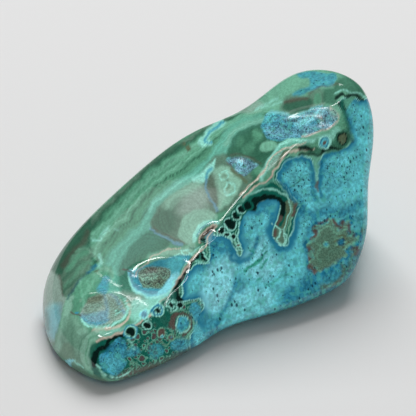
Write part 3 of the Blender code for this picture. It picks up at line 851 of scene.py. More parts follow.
EYE_PATCHES = {
    "ledge": ("pale_green", 0.9, 0.8, (
        (7.6, 24.2), (9, 25.8), (11, 26.6), (14, 26.8), (16.4, 27), (17.8, 27), (17.4, 25.6), (13.6, 25.2),
        (11, 24.6))),
    "eye_glow": ("pale_blue", 0.5, 0.9, (
        (3.4, 22.2), (4, 19.8), (5.4, 17.9), (7.8, 16.8), (10.6, 16.8), (12.6, 18.6), (13.8, 20.6),
        (12, 22), (8, 23.6), (5.6, 22.4))),
    "eye_blue": ("mid_blue", 0.4, 0.95, (
        (3.8, 22.2), (4.4, 20), (5.8, 18.6), (8, 17.9), (9.6, 18.2), (11, 19.4), (12.8, 20.6),
        (14.2, 22.6), (16.2, 24.8), (15.4, 25.4), (13.6, 25.2), (11, 24.6), (8.4, 24), (6.6, 23.3),
        (5.4, 22), (4.6, 21.4))),
    "eye_sky": ("turquoise", 1.0, 0.9, (
        (11, 24), (13.2, 24.8), (15.2, 24.6), (14, 22.6), (12.6, 21.6), (11.6, 22.8))),
    "eye_cyan": ("pale_blue", 0.8, 0.95, (
        (9.6, 17.7), (11, 18), (12.8, 19.6), (14, 21.4), (13.2, 22.2), (12, 20.8), (10.4, 19))),
    "eye_floor": ("grey_green", 0.5, 1.0, (
        (5.6, 21.4), (6.6, 22.6), (8, 23.2), (10, 23), (11.8, 22.6), (12.3, 21.8), (11.4, 20.2),
        (10.2, 18.9), (8, 18.6), (6.4, 19.4))),
    "eye_floor_light": ("pale_green", 0.8, 0.5, ((6.2, 21), (7.6, 21.8), (9.6, 21.6), (9, 20.6), (7, 20))),
    "eye_brown": ("brown", 0.6, 0.6, ((6.8, 22.4), (8, 23.1), (9.4, 22.8), (9, 22), (7.4, 21.9))),
    "eye_dark": ("olive", 0.6, 0.6, ((8.6, 19), (10.2, 19.2), (10.8, 20.6), (9.8, 21.2), (8.6, 20.2))),
    "shine_field": ("haze", 1.6, 0.75, (
        (0.6, 17.6), (3.6, 18), (7, 17.2), (8, 15.6), (5, 13.8), (4, 15), (3, 17.2))),
    "shine_mint": ("mint", 1.0, 0.6, (
        (4.4, 16.2), (8, 16.8), (11.6, 16.8), (9, 14.4), (6, 12.6), (4.2, 12.6))),
    "hook_glow": ("pale_green", 1.2, 0.7, (
        (15.4, 27.4), (16, 30.6), (17.6, 32.4), (18.4, 30.4), (17.2, 27.4))),
    "hook_slate": ("slate_blue", 0.4, 0.9, (
        (19.2, 28.2), (19.4, 29.8), (20.6, 30.6), (20.9, 29.2), (19.8, 27.4))),
    "tooth": ("black_green", 0.2, 1.0, (
        (18, 26.3), (18.6, 26.1), (19.4, 23.9), (17.7, 24.8), (16.4, 24.3))),
}
EYE_STROKES = {
    "eye_low_rim": ("slate_blue", 0.5, 0.4, 0.8, (
        (4, 21.4), (4.6, 19.9), (5.8, 18.8), (7.6, 18), (9.4, 17.9))),
    "eye_mint_rim": ("mint", 0.4, 0.3, 0.8, (
        (3.6, 21), (4.2, 19.4), (5.6, 18), (7.8, 17.1), (10.4, 17.2), (12.2, 18.4))),
    "eye_tip": ("brown", 0.35, 0.3, 0.8, ((2.8, 22.5), (3.6, 22.3), (4.6, 21.6))),
    # Painted highlight: a thin pale line on the eye's upper rim.
    "eye_top_highlight": ("beige", 0.25, 0.2, 0.7, (
        (5.2, 21.2), (5.8, 22.4), (7.4, 23.8), (9, 25.4), (11, 26.5), (14, 26.9))),
    "ledge_line_a": ("mint", 0.28, 0.2, 0.9, (
        (13.2, 25.2), (14.4, 25.8), (15.4, 25.4), (16.8, 26), (18, 27))),
    "ledge_line_b": ("mint", 0.28, 0.2, 0.8, ((14.2, 26.4), (15.4, 26.4), (16.2, 25.4), (17.4, 25.6))),
    "ledge_line_c": ("deep_teal", 0.3, 0.3, 0.6, ((15.6, 26.8), (17.2, 26.6), (18.2, 27.4))),
    "hook_mint": ("mint", 0.9, 0.4, 0.9, (
        (17, 28.2), (17.2, 29.8), (17.8, 31), (18.8, 31.8), (20.2, 32), (21.4, 31.8))),
    "hook_blue": ("slate_blue", 0.25, 0.25, 0.8, ((17.4, 29), (18, 30.8), (19.2, 31.6), (20.8, 31.8))),
    "hook_brown": ("brown", 0.9, 0.3, 0.95, ((18.2, 28.2), (18.7, 29.4), (19.6, 30.4), (20.8, 31.1))),
    # Painted highlight: pale lines on the rims of the hook.
    "hook_highlight_a": ("beige", 0.28, 0.2, 0.9, ((18, 28), (18.3, 29.6), (19.4, 30.9), (21.2, 31.5))),
    "hook_highlight_b": ("beige", 0.28, 0.2, 0.9, (
        (21.4, 31.2), (20.6, 30.2), (19.6, 29), (19.4, 27.6), (18.7, 26.4))),
    "side_strip": ("black_green", 0.85, 0.3, 1.0, (
        (17.6, 25.4), (16.2, 24), (14.9, 21.4), (13.7, 19.8), (13.3, 18.4), (13.6, 17.2), (14.2, 16.4))),
    "side_mint": ("mint", 0.25, 0.25, 0.7, (
        (15.4, 23.8), (14.2, 21.8), (13, 20), (12.4, 18.4), (12.9, 17), (13.6, 16))),
    "tooth_mint": ("mint", 0.22, 0.2, 0.9, (
        (18.5, 26.6), (19.1, 25.2), (19.8, 23.6), (18.4, 23.9), (17.2, 24.2))),
    # Painted highlight: pale lines along the ridge.
    "ridge_highlight_low": ("beige", 0.4, 0.25, 0.9, (
        (18.7, 26.4), (17.2, 25.4), (15.8, 23.6), (14.6, 21.8), (13.8, 20.8))),
    "ridge_highlight_mid": ("beige", 0.3, 0.3, 0.5, ((13.8, 20.8), (12.8, 18.8), (11.2, 16.8), (9.6, 15.4))),
    "scratch_a": ("dark_green", 0.15, 0.2, 0.6, ((3.6, 17), (4.2, 15.6), (4.8, 14.8))),
    "scratch_b": ("dark_green", 0.15, 0.2, 0.6, ((4.4, 17.2), (5, 16), (5.6, 15.2))),
}
EYE_BEADS = {
    "eye_hole": ("black_green", (9.8, 20.4), 0.33, ()),
    "eye_speck_a": ("black_green", (7.2, 20), 0.2, ()),
    "eye_speck_b": ("black_green", (8, 19.7), 0.22, ()),
    "eye_speck_c": ("black_green", (6.6, 19.9), 0.15, ()),
    "eye_speck_d": ("black_green", (9, 20), 0.18, ()),
    "eye_speck_e": ("black_green", (10.8, 21.4), 0.15, ()),
    "hook_spot": ("black_green", (18.8, 28.4), 0.4, ()),
}

NOSE_PATCHES = {
    # Painted reflection: the grey of the left facet and its lighter patch stand in for the bright surround
    # reflected at a grazing angle; its pale blue and blue patches are its own colour.
    "left_facet": ("haze", 0.7, 0.95, (
        (-14.6, 16.6), (-13.8, 19.6), (-12, 22.6), (-10, 21.4), (-9.6, 18.6), (-8.6, 16.6), (-10, 11.6),
        (-10.6, 7.6), (-11.2, 5.8), (-13, 9), (-14.2, 13))),
    "facet_light": ("haze", 1.0, 0.7, (
        (-11.6, 19.4), (-10.2, 20.4), (-9.6, 17), (-10, 14.4), (-11.4, 14.6))),
    "facet_blue": ("slate_blue", 1.2, 0.55, (
        (-11.4, 14.2), (-9.6, 15.8), (-9.8, 12.6), (-10.6, 9.2), (-12, 9.4), (-12.6, 11.6))),
    "facet_pale": ("pale_blue", 1.4, 0.55, (
        (-12.8, 14.6), (-10.6, 15.8), (-10.2, 12.4), (-10.9, 8.6), (-12.2, 9), (-13.2, 12))),
    # Painted shade: a dark green band along the top-left outline, where the roof curves down and away.
    "edge_band": ("dark_green", 0.7, 0.85, (
        (-4, 34.4), (-3.6, 29.6), (-4.2, 27), (-6, 26.6), (-7.6, 25), (-8.8, 23), (-10, 21.4), (-11, 21.8),
        (-12.4, 23), (-11.4, 26), (-9, 29.4), (-6.4, 32.4))),
    "green_lobe": ("grey_green", 0.5, 0.95, (
        (-4, 26.6), (-3.6, 24.2), (-4.4, 22.2), (-6.4, 19.8), (-8, 17.4), (-9.4, 17.4), (-10, 19.6),
        (-9.6, 21.4), (-8, 24.2), (-6, 26.2))),
    "streak_ground": ("mid_green", 0.6, 0.8, (
        (-2.8, 22.6), (-1.2, 23.2), (0.6, 22.8), (0.2, 19.6), (-2, 18), (-4.4, 17), (-6, 15.4),
        (-7.4, 13.8), (-8.4, 14.4), (-8.4, 16.6), (-6.4, 19), (-4.4, 21.4))),
    "nose_ground": ("mid_green", 0.8, 1.0, (
        (-8.6, 15.8), (-6.2, 13.8), (-4.6, 11.2), (-1, 10.6), (2.6, 11), (-1.6, 8.8), (-4, 6.6),
        (-4.2, 2.4), (-1, -0.6), (-6, -1), (-9.8, 2.4), (-11.2, 6.4), (-10, 12))),
    "nose_soft": ("haze", 1.6, 0.35, (
        (-8.8, 14.2), (-6.4, 12.8), (-4, 9.6), (-4.6, 5), (-6, 3.4), (-9, 5), (-9.8, 9.6))),
    "nose_shade": ("olive", 0.8, 0.35, (
        (-10.4, 6.4), (-9, 8), (-7.6, 7.2), (-6.8, 5.4), (-6.2, 4), (-8, 4.2), (-9.8, 5))),
    "nose_foot": ("grey_green", 0.8, 0.85, (
        (-9.6, 4.2), (-7, 3.6), (-5, 2.4), (-2.8, 1.4), (0, 0.6), (3, 0.4), (0, -1.6), (-5, -1.2),
        (-9, 1.6))),
    "aqua_chip": ("pale_blue", 0.3, 0.9, ((-8.8, 4.3), (-6.8, 4.5), (-7.4, 3.8), (-7.8, 2.6), (-8.2, 3.5))),
    "cyan_patch": ("mid_blue", 0.5, 0.9, (
        (-1.6, 21), (-0.4, 21.2), (0.2, 20.2), (-0.2, 18.6), (-0.6, 17.2), (-1.8, 17.6), (-2.4, 18.6),
        (-1.8, 19.8))),
    "bowl": ("haze", 0.4, 0.95, (
        (-6, 13.6), (-4.8, 11.8), (-3.6, 11.2), (-0.8, 11.4), (2.2, 12.6), (3.2, 14.6), (2.2, 16.6),
        (0.2, 17.6), (-1.8, 17.6), (-4, 16.6), (-5.3, 14.6))),
    "bowl_olive": ("olive", 0.6, 0.85, ((-4.6, 16), (-3, 17.2), (-1.4, 17.4), (-1.6, 16.4), (-3.4, 15.6))),
    "bowl_dull": ("grey_green", 1.0, 0.6, (
        (-5.4, 14.6), (-3.6, 15.8), (-1.4, 16), (-2.4, 14.2), (-4.6, 13.6))),
    "bowl_blue": ("slate_blue", 0.9, 0.85, (
        (-6, 13.6), (-3.6, 13.8), (-1.2, 14.2), (-0.4, 12.8), (-1.2, 11.4), (-3.6, 11.2), (-5, 12))),
    "bowl_right": ("grey_green", 1.0, 0.5, ((0, 16.6), (1.6, 15.8), (2.2, 13.6), (0.4, 12.4), (-0.2, 14))),
    "nose_lobe": ("pale_green", 0.5, 0.7, ((-6.6, 10.2), (-5.6, 11), (-4.6, 10.2), (-5.4, 9.4))),
    "teal_rim": ("deep_teal", 0.5, 0.95, (
        (-2.4, 8.2), (0, 9), (3.4, 9.8), (3.2, 8.4), (0.4, 7.2), (-1.8, 6), (-2.8, 4.2), (-2.4, 2),
        (-4, 2.8), (-4.6, 5.2), (-3.8, 7.2))),
}
NOSE_STROKES = {
    "facet_edge": ("dark_green", 1.0, 0.8, 0.6, ((-13.6, 18.2), (-13.8, 15.6), (-12.6, 13), (-12.2, 10.8))),
    "facet_red": ("brown", 0.35, 0.4, 0.5, ((-10, 21.4), (-9.8, 19.4), (-9.4, 17.4))),
    # Painted highlight: a pale green line where the nose turns to the left facet, for light caught on the
    # rounded edge.
    "nose_rim_highlight": ("pale_green", 1.2, 0.8, 0.95, (
        (-10.3, 6.4), (-9.9, 8.6), (-9.3, 11.6), (-8.4, 15), (-7.6, 16.8))),
    "edge_brown": ("brown", 0.9, 0.9, 0.5, ((-4.2, 30), (-5.4, 27.6), (-7.6, 25.8), (-9.2, 23))),
    "lobe_light_a": ("mid_green", 1.1, 0.9, 0.8, ((-8.4, 22.4), (-6.4, 24.8), (-4.4, 26.2))),
    "lobe_light_b": ("mid_green", 0.7, 0.8, 0.6, ((-8.8, 19.2), (-6.6, 22), (-4.4, 24))),
    "lobe_dark_a": ("dark_green", 0.5, 0.6, 0.6, ((-9.4, 20.4), (-7.4, 22.2), (-5.2, 24.2))),
    "lobe_dark_b": ("dark_green", 0.6, 0.6, 0.6, ((-9.2, 18), (-7.4, 19.8), (-5.4, 21.6))),
    "dark_thread": ("dark_green", 0.35, 0.3, 0.8, (
        (-3.8, 33), (-3.9, 30), (-4, 27.6), (-3.5, 25.2), (-2.9, 23.2))),
    "blue_inlet": ("deep_blue", 0.5, 0.3, 0.75, ((-4.6, 21.8), (-3.6, 22.6), (-2.6, 23.4))),
    "dark_inlet": ("navy", 0.4, 0.4, 0.6, (
        (-4, 22.2), (-5.6, 20.6), (-6.8, 19.2), (-8, 17.4), (-8.4, 16.4))),
    "mint_spots": ("mint", 0.7, 0.5, 0.7, ((-2, 25.4), (-1.5, 24.2), (-2.2, 23))),
    "mint_wye_a": ("mint", 0.55, 0.4, 0.65, ((-0.4, 30.6), (-1.4, 29.4), (-2.2, 28.2), (-3.4, 28.4))),
    "mint_wye_b": ("mint", 0.35, 0.3, 0.4, ((-0.2, 31.4), (1, 30.6), (2, 30.4))),
    "streak_a": ("light_green", 0.8, 0.6, 0.7, ((-5.4, 17), (-4.2, 18.8), (-3, 20.4), (-2.2, 22))),
    "streak_b": ("light_green", 0.35, 0.3, 0.7, ((-6.8, 16.6), (-5.6, 18.6), (-4, 20.6), (-2.8, 22.4))),
    "streak_c": ("mid_green", 0.3, 0.3, 0.7, ((-7.4, 15.8), (-5.8, 18), (-4.4, 19.8), (-3, 21.8))),
    "streak_d": ("mid_green", 0.25, 0.3, 0.7, ((-5, 17), (-3.6, 18.4), (-2.6, 20))),
    "streak_e": ("pale_green", 0.6, 0.6, 0.6, ((-2.4, 22.4), (-1, 22.6), (0.2, 22), (0.4, 20.6))),
    "bowl_vein": ("slate_blue", 0.5, 0.4, 0.9, ((-1, 17.6), (-0.6, 15.6), (-0.6, 12.4))),
    "bowl_arc": ("slate_blue", 0.35, 0.3, 0.9, ((0.2, 17.4), (1.6, 16.4), (2.4, 14.8), (2.7, 13.6))),
    "bowl_low_blue": ("mid_blue", 0.5, 0.5, 0.7, ((-5.2, 12.8), (-4.2, 11.9), (-2.6, 11.7), (-1, 11.9))),
    "bowl_tip": ("brown", 0.35, 0.3, 0.8, ((-5.8, 13.4), (-7, 13.7), (-8, 14.1))),
    "bowl_mint": ("mint", 0.45, 0.3, 0.9, (
        (-5.4, 12.4), (-4.4, 11.1), (-2.6, 10.8), (-0.6, 11), (1.6, 11.9), (3.2, 13.6), (3.5, 15.4),
        (2.9, 16.8))),
    # Painted highlight: a pale line on the bowl's rim.
    "bowl_rim_highlight": ("beige", 0.4, 0.3, 0.9, (
        (-3.4, 10.3), (-0.8, 10.7), (0.8, 10.7), (2.4, 11.4), (3.8, 13.2), (3.9, 15.2), (3.4, 16.6))),
    "below_rim": ("mint", 0.8, 0.8, 0.5, ((-1.8, 9.6), (1, 10.2), (3.6, 10.8), (6, 12.6))),
    "lobe_band": ("pale_green", 1.9, 0.9, 0.7, (
        (-1.8, 10.2), (-3.6, 9), (-4.7, 7.4), (-5, 5.2), (-4.4, 3.4))),
    "lobe_band_line": ("mid_green", 0.3, 0.3, 0.7, (
        (-2.4, 9.6), (-3.8, 8.4), (-4.7, 6.8), (-4.8, 4.8), (-4.2, 3.2))),
    "lobe_band_edge": ("dark_green", 0.3, 0.4, 0.5, (
        (-3.6, 10.2), (-5, 8.8), (-6, 7), (-6.1, 5), (-5.2, 3.2))),
    "lobe_dark": ("dark_green", 0.8, 0.9, 0.25, ((-7.6, 11.8), (-7.4, 9.2), (-7.6, 7.2), (-6.6, 4.8))),
    "lobe_shadow": ("dark_green", 0.6, 0.8, 0.45, ((-1.6, 9), (-2.8, 7.8), (-3.7, 5.8), (-3.6, 3.6))),
    "side_stripe": ("dark_green", 0.5, 0.6, 0.35, ((-8.8, 13), (-9.2, 10.6), (-9.4, 8))),
    "foot_line": ("light_green", 0.35, 0.3, 0.8, (
        (-2.6, 3.2), (-1.6, 2), (-0.8, 0.7), (1.2, 0.3), (2.6, 0.8))),
    "foot_mint": ("mint", 0.25, 0.2, 0.7, ((-6.8, 4.4), (-6, 3.4), (-5.2, 2.8))),
    "rim_black_a": ("black_green", 0.9, 0.3, 1.0, (
        (-3, 3.4), (-3.2, 5), (-2.6, 6.2), (-1.2, 6.9), (-0.2, 7.2))),
    "rim_black_b": ("black_green", 0.7, 0.3, 1.0, ((-0.3, 7.4), (-0.2, 8.4), (0.9, 9), (2.8, 9.2))),
    # Painted highlight: a pale line along the ridge over the nose.
    "nose_ridge_highlight": ("beige", 0.45, 0.3, 0.9, (
        (-2.8, 8.2), (-0.8, 9), (0.4, 9.5), (2.6, 9.9), (4.2, 10.6), (6.4, 12.2), (8.2, 13.2))),
}
NOSE_BEADS = {
    "inlet_dot": ("olive", (-2.8, 22.4), 0.3, ()),
    "bowl_spot": ("dark_green", (1.7, 14.1), 0.3, (("mint", 0.18),)),
    "bowl_tip_blue": ("mid_blue", (-6.6, 13.9), 0.25, ()),
}

MATRIX = (
    (3.6, 8.6), (2.6, 2.2), (0, 0.4), (6, 1.2), (10, 3), (15, 5.4), (18, 6.6), (19, 9.6), (17.6, 12.6),
    (19, 15.4), (18, 17), (16, 16.2), (14.6, 16.2), (13.6, 18.6), (11.2, 16), (8.2, 12.8), (6, 11.4),
    (4.2, 9.4),
)
BLUE_POCKET = (
    (0.6, 8), (1.6, 8.8), (3, 8.4), (3.6, 7.2), (3, 5.4), (3.2, 3.8), (2.6, 2.4), (1.2, 1.6), (-0.4, 2),
    (-1.6, 3), (-2.2, 4.2), (-2.4, 5.2), (-1.2, 5.8), (0, 6.6),
)
MATRIX_PATCHES = {
    "teal_top": ("deep_teal", 0.8, 0.9, (
        (8.6, 13.4), (11, 16.4), (13, 18.4), (13.4, 15.8), (12.6, 13.6), (12.2, 11.6), (10.6, 10.2),
        (9, 11))),
    "blue_lens": ("mid_blue", 0.3, 1.0, (
        (14, 13), (15.2, 13), (15.6, 11.6), (15, 10), (13.9, 10.2), (13.4, 11.6))),
    "blue_foot_a": ("mid_blue", 0.6, 0.6, ((7.6, 6.8), (9.4, 7.6), (11, 6.6), (10, 5), (8.4, 4.6))),
    "blue_foot_b": ("mid_blue", 0.6, 0.85, ((12.2, 8), (14.6, 9), (16.4, 8), (15, 6.6), (12.8, 6.4))),
    "blue_foot_c": ("mid_blue", 0.6, 0.85, ((3.6, 6.8), (5.4, 7.2), (6.2, 5.8), (4.6, 5), (3.2, 5.2))),
    "blue_side": ("mid_blue", 0.5, 0.95, (
        (16.2, 15.4), (17.6, 15.8), (18, 13.6), (17.2, 12.2), (16.2, 13.2))),
    "blue_gap": ("turquoise", 0.8, 0.8, ((16.6, 11.6), (18.4, 11), (19.4, 8), (17.6, 7), (16.8, 9))),
    "pocket_blue": ("mid_blue", 0.3, 1.0, BLUE_POCKET),
    "pocket_deep": ("deep_blue", 0.8, 0.7, (
        (0.8, 7.8), (1.8, 8.5), (3, 8), (3.2, 6.8), (1.2, 6.2), (-1.6, 4.8), (-1.8, 5.4))),
    "pocket_pale": ("turquoise", 1.0, 0.45, ((-1, 4), (0.8, 5.2), (2.4, 4.6), (1.8, 2.8), (0, 2.6))),
}
MATRIX_STROKES = {
    # Painted shade: a dark brown band along the bottom edge, where the stone turns under towards the floor.
    "foot_shade": ("brown", 1.4, 1.8, 0.75, ((2.4, 1.2), (6, 2.2), (10, 3.4), (14, 4.8), (16.4, 5.8))),
    "crescent": ("brown", 0.9, 0.3, 0.95, ((13.4, 13.8), (12.6, 12.8), (12.5, 11.6), (13, 10.8))),
    "lens_ring": ("brown", 0.6, 0.3, 0.9, ((13.4, 13.6), (14.8, 14), (16, 12.8), (16, 10.8), (14.8, 9.4))),
    "lens_mint": ("mint", 0.25, 0.2, 0.9, (
        (13.6, 13), (14.8, 13.3), (15.8, 12.2), (15.6, 10.4), (14.6, 9.8), (13.6, 10.4), (13.2, 11.6),
        (13.6, 13))),
    "lens_outer": ("light_green", 0.25, 0.2, 0.8, (
        (12.2, 13.8), (13.6, 14.6), (15.4, 14.4), (16.6, 13), (16.6, 10.8), (15.4, 9), (13.8, 8.9),
        (12.2, 10.6))),
    "pocket_mint": ("mint", 0.25, 0.2, 0.8, (
        (-2.6, 3.4), (-1.6, 2.4), (-0.4, 1.4), (1.2, 1), (3, 1.6), (4.4, 2.4))),
    "pocket_side": ("mint", 0.25, 0.2, 0.7, ((3.8, 8.4), (4.4, 7.6), (4.8, 6.9), (5.6, 6.6))),
    "comb_a": ("light_green", 0.2, 0.2, 0.8, ((3.8, 4.2), (4, 3), (3.8, 1.8))),
    "comb_b": ("light_green", 0.2, 0.2, 0.8, ((4.4, 4.4), (4.7, 3.2), (4.6, 2.2))),
    "comb_c": ("light_green", 0.2, 0.2, 0.8, ((5.2, 4.2), (5.5, 3.2), (5.4, 2.4))),
    "comb_dark": ("brown", 0.2, 0.2, 0.7, ((4.1, 4.2), (4.35, 3), (4.2, 2))),
    "top_mint": ("mint", 0.3, 0.3, 0.7, ((4.4, 11.4), (6, 12.8), (7.8, 13.8), (9.4, 15.8), (11.4, 17.2))),
    "foot_blue_rim": ("light_green", 0.25, 0.2, 0.7, (
        (7.2, 6.4), (8, 7.8), (9.8, 8.2), (11.2, 7.2), (12.4, 8.6), (14.4, 9.4))),
}
MATRIX_BEADS = {
    "bead_nose": ("black_green", (4.2, 10), 0.85, (("dark_green", 0.15), ("mint", 0.2), ("mid_blue", 0.3))),
    "bead_low": ("black_green", (7.4, 11.3), 0.75, (("mint", 0.22), ("deep_teal", 0.25))),
    "bead_ringed": ("black_green", (9.4, 14.4), 0.65, (("mint", 0.18), ("deep_blue", 0.4), ("mint", 0.2))),
    "bead_side": ("black_green", (12.4, 15.4), 0.55, (("mint", 0.18), ("deep_teal", 0.3), ("mint", 0.15))),
    "bead_small": ("dark_green", (7.4, 12.7), 0.35, (("mint", 0.15),)),
    "bead_dark": ("black_green", (14.2, 15.5), 0.55, (("mint", 0.12),)),
    "blue_disc": ("slate_blue", (7, 13.6), 0.6, (("pale_blue", 0.2), ("mint", 0.25))),
    "cell_ring_a": ("brown", (10.2, 10), 0.75, (("light_green", 0.2), ("deep_teal", 0.2))),
    "cell_ring_a_eye": ("mid_blue", (10.4, 9.4), 0.25, (("mint", 0.12),)),
    "cell_ring_b": ("brown", (12.2, 9), 0.5, (("light_green", 0.2),)),
    "cell_ring_b_eye": ("mid_blue", (12.3, 9.1), 0.18, ()),
    "foot_spot": ("navy", (5.1, 5.7), 0.35, ()),
    "foot_spot_b": ("navy", (14.4, 8), 0.25, ()),
}

# Strength of dashes, fibres and grain inside the patches that are not plain malachite.
PATCH_TEXTURE = {
    "pocket_ground": (1.6, 0.0, 0.35), "wedge_pit": (1.6, 0.0, 0.5), "hump_blue": (0.9, 0.0, 0.1),
    "eye_blue": (0.5, 0.0, 0.1), "eye_floor": (0.3, 0.0, 0.9), "bowl": (0.2, 0.2, 0.5),
    "bowl_blue": (0.4, 0.0, 0.4), "cyan_patch": (0.6, 0.0, 0.2), "pocket_blue": (1.2, 0.0, 0.25),
    "blue_lens": (1.2, 0.0, 0.2), "blue_foot_a": (0.8, 0.0, 0.4), "blue_foot_b": (0.8, 0.0, 0.4),
    "blue_foot_c": (0.8, 0.0, 0.4), "blue_side": (1.0, 0.0, 0.2), "mint_shelf": (0.3, 0.2, 0.3),
    "ridge_green": (0.2, 0.6, 0.2), "olive_finger": (0.2, 0.2, 0.3), "facet_blue": (0.3, 0.1, 0.1),
}
# Places on the chrysocolla where the dark dashes crowd: extra strength, softness, corners.
BUSY_PLACES = (
    (0.9, 2.0, (
        (34.4, 42.4), (36.4, 44.4), (39.6, 44), (40.6, 40), (39.6, 35.6), (36.6, 36.6), (34.6, 39.4))),
    (0.9, 2.0, ((42.4, 44.4), (46, 46), (48, 45), (48, 41), (45, 39), (42.6, 40))),
    (0.7, 1.6, ((26, 31), (28.6, 34), (31, 35), (30, 32), (28, 30))),
    (0.7, 1.6, ((37.4, 36), (40.6, 35), (40, 30), (38, 30.6))),
    (0.8, 1.6, ((18, 28), (20, 28.4), (22, 26), (20, 22.6), (17.4, 22))),
    (0.6, 2.0, ((46.6, 55.6), (50, 55.4), (50.4, 50), (47.6, 49))),
    (0.4, 2.4, ((31, 27), (36, 26), (37, 20), (33, 18), (29, 22))),
)


# ---------------------------------------------------------------- laying the markings
# The far side's contact of the two minerals: its height in mm at the nose, its rise per mm
# along the length, and its fall per mm of depth from the middle depth.
CONTACT_HEIGHT = 4.0
CONTACT_RISE = 0.28
CONTACT_FALL = 0.35
CONTACT_MIDDLE = 12.0
# Waves, each (size in mm, swing, seed): on that contact, and on the bands above it.
CONTACT_WAVES = ((16.0, 3.0, 21), (5.0, 1.2, 22))
BAND_WAVE = (12.0, 1.4, 23)
# Radians of banding per mm above the contact, and the spans of the bands' wave, turned over
# for the dark ones, in which the light and the dark malachite come in.
BAND_PACE = 0.9
LIGHT_SPAN = (0.45, 0.8)
DARK_SPAN = (-0.25, -0.05)
# Chrysocolla inside an edge: pigment, mm inside it and softness in mm; then how far inside
# the dashes start, and their softness.
FAR_SHELLS = (("deep_blue", 0.0, 0.6), ("turquoise", 1.2, 0.8))
FAR_DASHES = (1.5, 1.0)
FACE_SHELLS = (("mid_blue", 0.5, 0.6), ("turquoise", 1.2, 1.0))
FACE_DASHES = (1.0, 1.2)
# Softness in mm of the malachite's fibres at the contact, and of an area that takes rings.
FIBRE_SOFT = 1.0
RINGS_SOFT = 0.3
# The roof's bands: the wave on them, and their fine lines with the wave on those.
ROOF_WAVE = (7.0, 0.009, 31)
FINE_WAVE = (9.0, 2.0, 32)
FINE_PACE = 150.0
FINE_SWING = 0.04
# Growth layers over the roof's width, and how fibrous its malachite is.
ROOF_LAYERS = 9.0
ROOF_FIBRES = 0.7
# Dashes, fibres and grain of the star and of the ground under the nose ridge.
STAR_TEXTURE = (0.1, 0.3, 0.35)
MATRIX_TEXTURE = (0.0, 0.0, 0.3)
# Rims outside an area: pigment, from and to in mm.
FACE_RIMS = (("light_green", 0.55, 0.8), ("mint", 0.0, 0.25))
STAR_RIMS = (("deep_blue", 0.3, 0.9), ("light_green", 0.0, 0.25))


def swung(points, wave):
    """One wave of (size in mm, swing, seed) at each point."""
    size, swing, seed = wave
    return swing * waves(points, size, seed)


def lay_tables(skin, patches, strokes, beads):
    """Lay an area's tables in order: patches, then strokes, then beads."""
    for name, (key, soft, strength, corners) in patches.items():
        rows, _, cover = skin.patch(key, corners, soft, strength)
        if name in PATCH_TEXTURE:
            skin.texture(rows, cover, *PATCH_TEXTURE[name])
    for key, width, soft, strength, corners in strokes.values():
        skin.stroke(key, corners, width, soft, strength)
    for key, centre, radius, rings in beads.values():
        skin.bead(key, centre, radius, rings)


def lay_far_side(skin):
    """All round: bands of malachite above, chrysocolla below, along a wavy contact."""
    points = skin.points
    height = points[:, 2] - CONTACT_RISE * points[:, 0] - CONTACT_HEIGHT
    contact = height + CONTACT_FALL * (points[:, 1] - CONTACT_MIDDLE)
    for wave in CONTACT_WAVES:
        contact += swung(points, wave)
    band = 0.5 + 0.5 * np.sin(BAND_PACE * contact + swung(points, BAND_WAVE))
    skin.lay("mid_green", np.ones(len(points)))
    skin.lay("light_green", smooth_step(band, *LIGHT_SPAN))
    skin.lay("dark_green", smooth_step(-band, *DARK_SPAN))
    for key, inset, soft in FAR_SHELLS:
        skin.lay(key, edge_cover(contact + inset, soft))
    inset, soft = FAR_DASHES
    skin.dashes += edge_cover(contact + inset, soft)
    skin.fibres += 1.0 - edge_cover(contact, FIBRE_SOFT)
    skin.layers += contact


def lay_roof(skin):
    """Malachite bands that follow the roof's outer edge, then the lobes and veins inside them."""
    rows = np.flatnonzero(skin.seen > 0.0)
    place = skin.place[rows]
    outer = line_distance(place, flowing(ROOF_OUTER, closed=False))
    inner = line_distance(place, flowing(ROOF_INNER, closed=False))
    share = outer / (outer + inner) + swung(skin.points[rows], ROOF_WAVE)
    stops = [stop for stop, _ in ROOF_BANDS]
    colours = np.array([skin.pigment(key) for _, key in ROOF_BANDS])
    banded = np.stack([np.interp(share, stops, colours[:, k]) for k in range(3)], axis=-1)
    fine = 1.0 + FINE_SWING * np.sin(FINE_PACE * share + swung(skin.points[rows], FINE_WAVE))
    seen = skin.seen[rows]
    skin.colour[rows] += seen[:, None] * (banded * fine[:, None] - skin.colour[rows])
    skin.fibres[rows] += seen * (ROOF_FIBRES - skin.fibres[rows])
    skin.dashes[rows] *= 1.0 - seen
    skin.layers[rows] = ROOF_LAYERS * share
    for key, centre, pace in ROOF_RINGS:
        line = flowing(ROOF_PATCHES[key][3], closed=True)
        near = skin.near(line, RINGS_SOFT)
        inside = edge_cover(area_distance(skin.place[near], line), RINGS_SOFT)
        skin.ring_about(centre, near, inside, pace)
    lay_tables(skin, ROOF_PATCHES, ROOF_STROKES, ROOF_BEADS)


